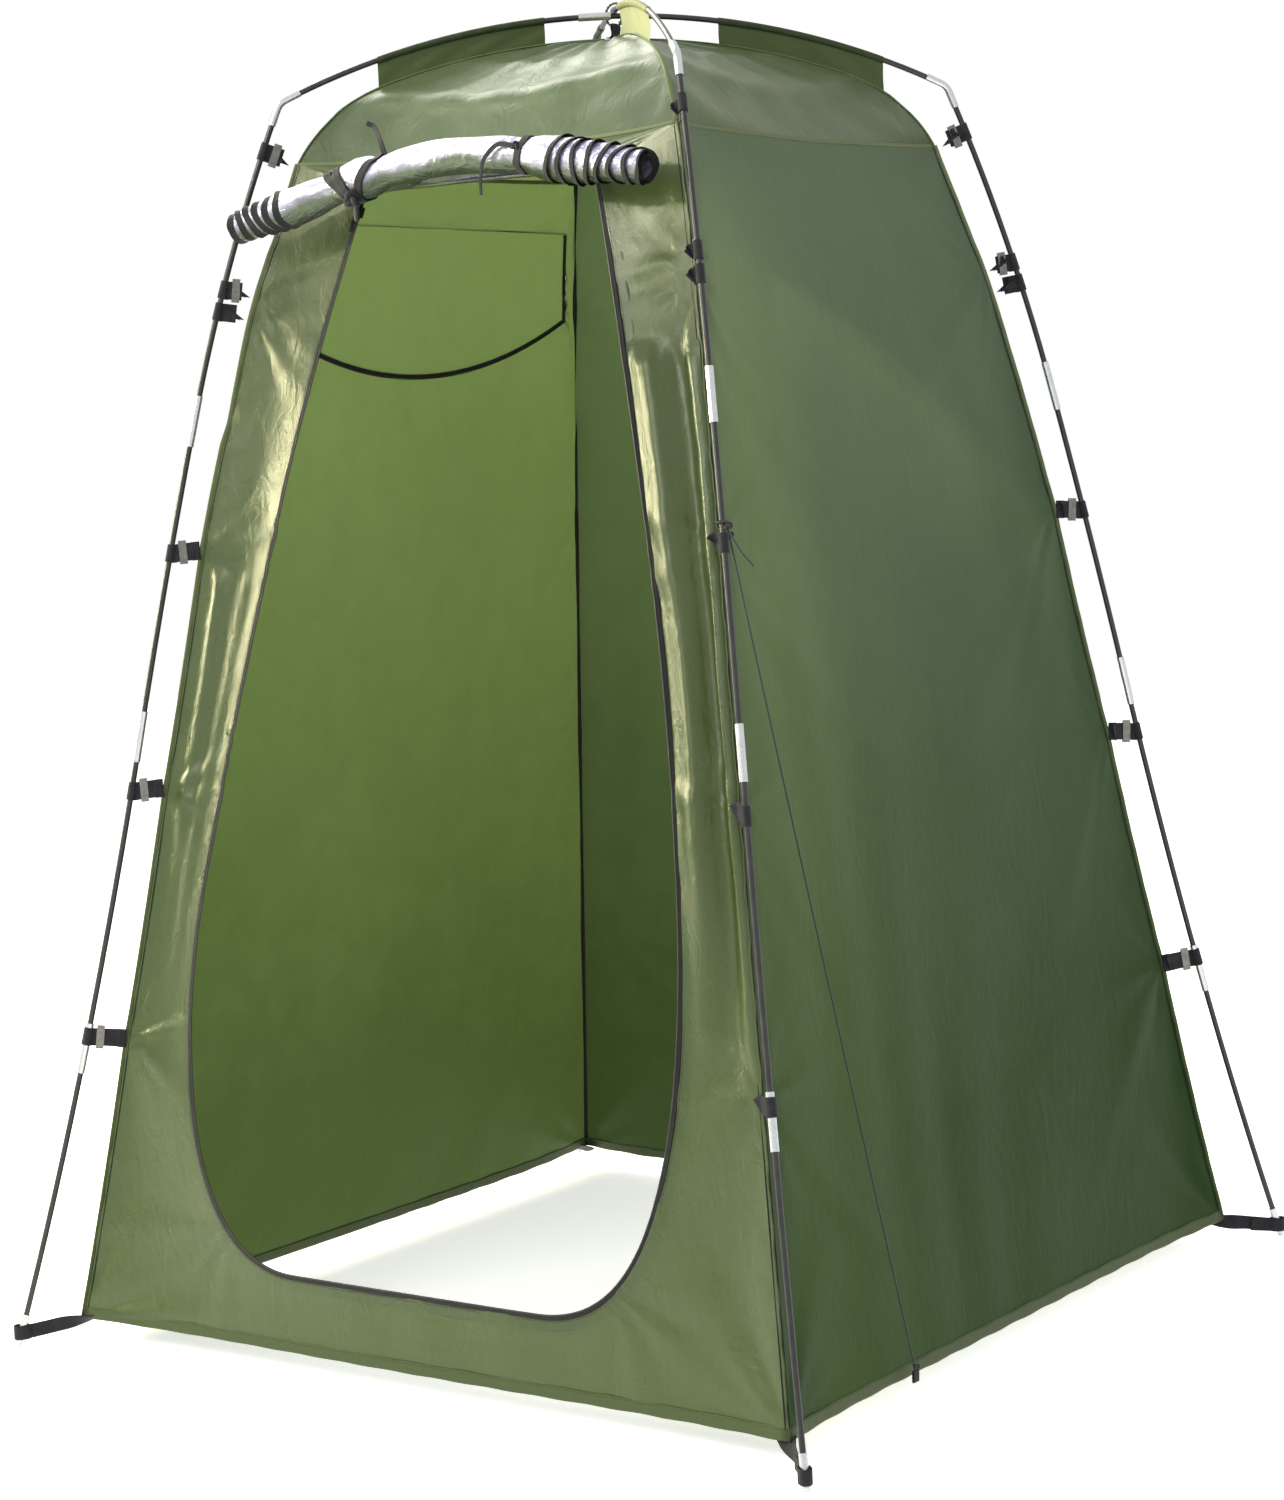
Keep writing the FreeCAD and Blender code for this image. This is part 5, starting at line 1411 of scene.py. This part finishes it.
def make_ties(roll):
    """The two tapes that hold the roll, knotted, with their loose ends."""
    piece = Piece("door_tie_tapes")
    for high_share, low_share in ((0.247, 0.300), (0.272, 0.306), (0.372, 0.312), (0.722, 0.712)):
        tie_band(piece, roll, high_share, low_share)
    below = 1.5 * math.pi + 0.75
    spot = roll.place(0.306, below, roll.radius(0.306, below) + 0.007)
    knot(piece, spot, 0.010, [0.0, -1.0, -0.4], 0.0040)
    over = roll.place(0.372, 1.9, roll.radius(0.372, 1.9) + 0.0030)
    curl = over + [(0, 0, 0), (-0.004, -0.004, 0.020), (-0.020, 0.004, 0.040), (-0.030, 0.0, 0.046)]
    tail(piece, curl, [1.0, 0.0, 0.0], 0.010, 0.007)
    front = roll.place(0.712, 0.45, roll.radius(0.712, 0.45) + 0.0025)
    knot(piece, front, 0.005, [0.0, -1.0, 0.3], 0.0022)
    hang = front + [
        (0, 0, 0), (-0.026, -0.004, 0.004), (-0.048, -0.007, -0.014), (-0.056, -0.005, -0.040),
        (-0.060, 0, -0.058),
    ]
    tail(piece, hang, [0.1, 0.0, 1.0], 0.007, 0.005)
    high, middle = box_of("tie_toggle")[1:]
    toggle_top = np.array([middle[0], middle[1], high[2] + 0.0012])
    tail(piece, [spot, (spot + toggle_top) / 2 + [0, -0.004, 0.003], toggle_top], [1.0, 0.0, 0.0], 0.007)
    return piece.make("door_roll", "webbing", [WEBBING], ["door_ties"])


# ---------------------------------------------------------------- straps and feet

STRAP_WIDTH = 0.025
WEB = 0.0013  # the webbing's thickness
LOOP_GAP = 0.0006  # the room between a pole and the webbing round it
SOCKET_RADIUS = 0.0055
SOCKET_LOOP = 0.0068  # a loop that is broader than this goes round a socket, not a bare pole


def strap_ends(leg):
    """Each strap's middle on the pole, the pole's direction, the radius it goes round, and its seam end."""
    found = []
    for shell in shells(f"straps_{leg.name}"):
        local = leg.local(shell)
        loop = local[np.abs(local[:, 2]) > 0.002]
        middle, way = leg.pole(float((loop[:, 1].min() + loop[:, 1].max()) / 2))
        broad = np.abs(local[:, 2]).max()
        ring = SOCKET_RADIUS if broad > SOCKET_LOOP else POLE_RADIUS
        band = local[(np.abs(local[:, 2]) < 0.0010) & (local[:, 0] < middle[0] - broad - 0.003)]
        low, high = band[band[:, 1].argmin()], band[band[:, 1].argmax()]
        seam = (low[:2] + high[:2]) / 2
        found.append((middle, way, ring, seam, unit(high[:2] - low[:2])))
    return sorted(found, key=lambda ends: ends[0][1])


def strap_path(middle, way, ring, seam, turned):
    """The webbing's (reach, height, aside) line: out from the seam, round the pole, and back to a tail."""
    radius = ring + LOOP_GAP + WEB / 2
    square = np.array([way[1], -way[0]])
    lift = WEB / 2 + 0.0001
    first = math.pi - math.asin(min((lift + 0.0004) / radius, 1))
    angles = np.linspace(first, -first, 25)
    wrap = [(*(middle + square * math.cos(a) * radius), math.sin(a) * radius) for a in angles]
    run = middle - seam
    out = [(*(seam + run * share), lift) for share in np.linspace(0.0, 0.70, 12)]
    back = []
    for share in np.linspace(0.70, 0.20, 10):
        droop = 0.0030 * max(0, 0.45 - share) / 0.25
        back.append((*(seam + run * share), -lift - droop))
    tip = seam + run * (0.20 - 0.10 * turned)
    end = [(tip[0], tip[1] - 0.003, -lift - 0.005 - 0.003 * turned)]
    return np.array(out + wrap + back + end)


def make_straps(leg):
    """A leg's six webbing straps."""
    piece = Piece(f"webbing_{leg.name}")
    for number, (middle, way, ring, seam, seam_up) in enumerate(strap_ends(leg)):
        rough = strap_path(middle, way, ring, seam, 0.5 + 0.5 * math.sin(2.3 * number))
        line = resampled(rough, 70)
        share = np.clip((line[:, 0] - seam[0]) / (middle[0] - seam[0]), 0, 1)[:, None]
        up = unit(seam_up * (1 - share) + way * share)
        path = leg.place(*line.T)
        piece.band(path, squared(leg.place(*up.T), path), STRAP_WIDTH, WEB, cells=8)
        patch = np.linspace(-0.001, 0.011, 5)
        run = unit(middle - seam)
        for aside in (0.0016, -0.0012):
            spots = leg.place(seam[0] + run[0] * patch, seam[1] + run[1] * patch, aside)
            piece.band(spots, leg.place(*seam_up), STRAP_WIDTH + 0.001, 0.0008, cells=6)
    return piece.make("tent", "webbing", [WEBBING], [f"straps_{leg.name}"])


def make_foot_straps(legs):
    """Webbing from the hem's corners to a loop round each foot tip."""
    piece = Piece("foot_webbing")
    corner = box_of("hem_binding")[1][0] * math.sqrt(2) - 0.010
    for leg in legs.values():
        shell = max(shells("foot_straps"), key=lambda points: float(points.mean(0) @ leg.out))
        local = leg.local(shell)
        loop = local[np.abs(local[:, 2]) > 0.004]
        centre = (loop[:, 0].min() + loop[:, 0].max()) / 2
        radius = float(np.abs(local[:, 2]).max()) - 0.0008
        level = float((local[:, 1].min() + local[:, 1].max()) / 2)
        angles = np.linspace(math.pi - 0.10, -math.pi + 0.10, 41)
        squeeze = 1 - 0.28 * np.abs(np.sin(angles))
        wrap = np.stack([
            centre + radius * np.cos(angles), level + 0 * angles, radius * np.sin(angles) * squeeze
        ], 1)
        start = np.array([corner - 0.022, 0.036, 0.0])
        joins = [start, start * 0.80 + wrap[0] * 0.20 + [0, -0.002, 0], start * 0.4 + wrap[0] * 0.6]
        back = [wrap[-1] * 0.7 + start * 0.3 + [0, -0.001, -0.002]]
        line = resampled(np.concatenate([joins, wrap, back]), 90)
        path = leg.place(*line.T)
        turned = np.clip(run_of(path) / 0.075, 0, 1)[:, None]
        turned = turned * turned * (3 - 2 * turned)
        sides = unit((leg.side * 0.94 + UP * 0.34) * (1 - turned) + UP * turned)
        widths = 1.20 - 0.22 * turned[:, 0]
        piece.band(path, squared(sides, path), 0.0205, 0.0015, cells=8, scale=widths)
    return piece.make("tent", "webbing", [WEBBING], ["foot_straps"])


# ---------------------------------------------------------------- cords and small fittings

# The guy line's route, from the ring on the front right pole to the tab on the hem.
GUY_ROUTE = ((0.4715, -0.4645, 1.139), (0.5375, -0.389, 0.590), (0.6059, -0.311, 0.045))
GUY_RADIUS = 0.00125


def make_guy_line():
    """The guy line, the knots at its ends, and the webbing tab that it is tied to."""
    curve = bpy.data.curves.new("guy_cord", "CURVE")
    curve.dimensions = "3D"
    curve.bevel_depth = GUY_RADIUS
    curve.bevel_resolution = 3
    curve.resolution_u = 24
    curve.use_fill_caps = True
    spline = curve.splines.new("NURBS")
    spline.points.add(len(GUY_ROUTE) - 1)
    for point, place in zip(spline.points, GUY_ROUTE):
        point.co = (*place, 1)
    spline.order_u = 3
    spline.use_endpoint_u = True
    curve.materials.append(CORD)
    line = shown("guy_cord", curve)
    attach(line, "tent")
    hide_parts("guy_line")

    knots = Piece("guy_knots")
    start, end = np.array(GUY_ROUTE[0]), np.array(GUY_ROUTE[-1])
    way = unit(np.array(GUY_ROUTE[1]) - start)
    for shift, size in ((0.004, 0.0058), (0.015, 0.0050)):
        knot(knots, start + way * shift, size, way, 0.0017)
    loose = start + [way * 0.012, (0.012, -0.004, -0.020), (0.024, -0.004, -0.037), (0.038, 0.000, -0.054)]
    knots.tube(smooth_line(loose, 24), 0.0012, 8)
    knot(knots, end + [0.001, 0.0, 0.004], 0.0042, -way, 0.0014)
    knotted = knots.make("tent", "cord", [CORD])

    low, high, middle = box_of("guy_tab")
    tab = Piece("guy_webbing_tab")
    width, height = (high - low)[1:]
    foot = 0.001 - height / 2
    shape = middle + [
        (-0.0010, 0, foot), (-0.0008, 0, height * 0.30), (0.0004, 0, height * 0.46),
        (0.0016, 0, height * 0.30), (0.0010, 0, foot),
    ]
    tab.band(smooth_line(shape, 24), (0, 1, 0), width, 0.0010, cells=6)
    tabbed = tab.make("tent", "webbing", [WEBBING], ["guy_tab"])


def make_crown():
    """The cord that lashes the two hoops together, and the roof's webbing tab that hangs on it."""
    low, high, middle = box_of("apex_tie")
    radius = (high - low)[0] / 2 - 0.0015
    cord = Piece("apex_lashing")
    t = np.linspace(0, 2 * math.pi, 96, endpoint=False)
    for phase in (0, math.pi):
        twist = 9 * t + phase
        size = radius + 0.0010 * np.cos(twist)
        path = np.stack([size * np.cos(t), 0.0010 * np.sin(twist), size * np.sin(t)], 1)
        cord.tube(middle + path, 0.00095, 7, closed=True)
    knot(cord, middle + [0.0125, -0.001, -0.0115], 0.0042, [0.5, -1, 0.2], 0.0014)
    loose = middle + [(0.013, -0.002, -0.012), (0.020, -0.008, -0.017), (0.027, -0.012, -0.020)]
    cord.tube(smooth_line(loose, 14), 0.0011, 7)
    cord.make("tent", "cord", [CORD], ["apex_tie"])

    low, high, base = box_of("roof_tab")
    base[2] = low[2]
    reach = middle[2] - radius - low[2]
    half = [(0.011, 0, 0.0022), (0.004, 0, 0.0026), (0.0012, 0, 0.007), (0.0024, 0, reach - 0.002)]
    other_half = [(-x, y, z) for x, y, z in half[::-1]]
    shape = base + [*half, (0, 0, reach + 0.0032), *other_half]
    tab = Piece("roof_webbing_tab")
    tab.band(smooth_line(shape, 70), (0, 1, 0), (high - low)[1], 0.0011, cells=6)
    tab.make("tent", "webbing", [WEBBING], ["roof_tab"])


# ---------------------------------------------------------------- hard parts, light and floor

HARD_PARTS = {
    "pole_black": POLE_BLACK,
    "ferrule_silver": ALUMINIUM,
    "shock_cord": ELASTIC,
    "buckle_metal": BUCKLE_METAL,
    "zip_metal": ZIP_METAL,
    "black_plastic": BLACK_PLASTIC,
    "webbing": WEBBING,
    "cord": CORD,
    "green_cloth": GREEN,
    "hem_cloth": HEM_GREEN,
    "silver_lining": SILVER,
    "zip_tape": ZIP_TAPE,
}


def finish_hard_parts():
    """Every CAD part gets the material of its slot."""
    for row in frame["record"]["subparts"]:
        thing = NODES[row["node"]]
        material = HARD_PARTS[row["material_slot"]]
        if not thing.material_slots:
            thing.data.materials.append(material)
        for slot in thing.material_slots:
            slot.material = material


# The soft lights: (name, place, target, width, height, power, colour).
SOFT_LIGHTS = (
    ("warm_key", (-4.2, -1.6, 1.9), (0.0, -0.3, 1.0), 1.1, 1.2, 190, (1.0, 0.92, 0.55)),
    ("front_fill", (-0.8, -4.2, 3.4), (0.0, -0.4, 1.0), 2.0, 2.0, 95, (1.0, 0.97, 0.84)),
    ("high_glow", (-3.0, 1.2, 4.2), (-0.1, -0.2, 1.7), 2.2, 2.2, 130, (1.0, 0.98, 0.86)),
)
FLOOR_HALF = 9


def light(name, kind, place, target, power, colour):
    """A new light that looks at a target; returns its data."""
    data = bpy.data.lights.new(name, kind)
    data.energy = power
    data.color = colour
    aimed(shown(name, data), place, Vector(target) - Vector(place))
    return data


def make_studio():
    """A white studio: lit warmly from the left, softly in front and from above, and on the front hip."""
    scene = bpy.context.scene
    world = bpy.data.worlds.new("white_studio")
    world.use_nodes = True
    background = world.node_tree.nodes["Background"]
    background.inputs["Color"].default_value = (1, 1, 1, 1)
    scene.world = world
    scene.view_settings.view_transform = "Standard"
    scene.view_settings.look = "None"
    for name, place, target, width, height, power, colour in SOFT_LIGHTS:
        soft = light(name, "AREA", place, target, power, colour)
        soft.shape = "RECTANGLE"
        soft.size, soft.size_y = width, height
    spot = light("hip_glow", "SPOT", (-1.7, -2.6, 2.9), (0.06, -0.22, 1.74), 900, (1.0, 0.96, 0.70))
    spot.spot_size = math.radians(13)
    spot.spot_blend = 1.0
    spot.shadow_soft_size = 0.15
    flats = FLOOR_HALF * np.array([(-1, -1), (1, -1), (1, 1), (-1, 1)])
    floor = new_object("studio_floor", [(x, y, 0) for x, y in flats], [(0, 1, 2, 3)], flats)
    floor.data.materials.append(floor_material())


# ---------------------------------------------------------------- build everything

make_camera()
make_guy_line()

legs = {name: Leg(name) for name in LEGS}
cabin = Cabin()
cloth = Cloth(cabin)
hang(cloth)
normals = cloth.normals()
walls = make_walls(cloth)
door_zip, door_facing = make_door_edge(cloth, normals)
window_zip = make_window(cloth, normals)
hem = make_hem_binding(cloth, normals)
make_seams(cloth, normals, legs)
make_sleeves(cloth, legs)
declare_sheets(cloth, walls)

roll = Roll()
make_roll(cloth, roll)
make_ties(roll)
for leg in legs.values():
    make_straps(leg)
make_foot_straps(legs)
make_crown()

finish_hard_parts()
make_studio()
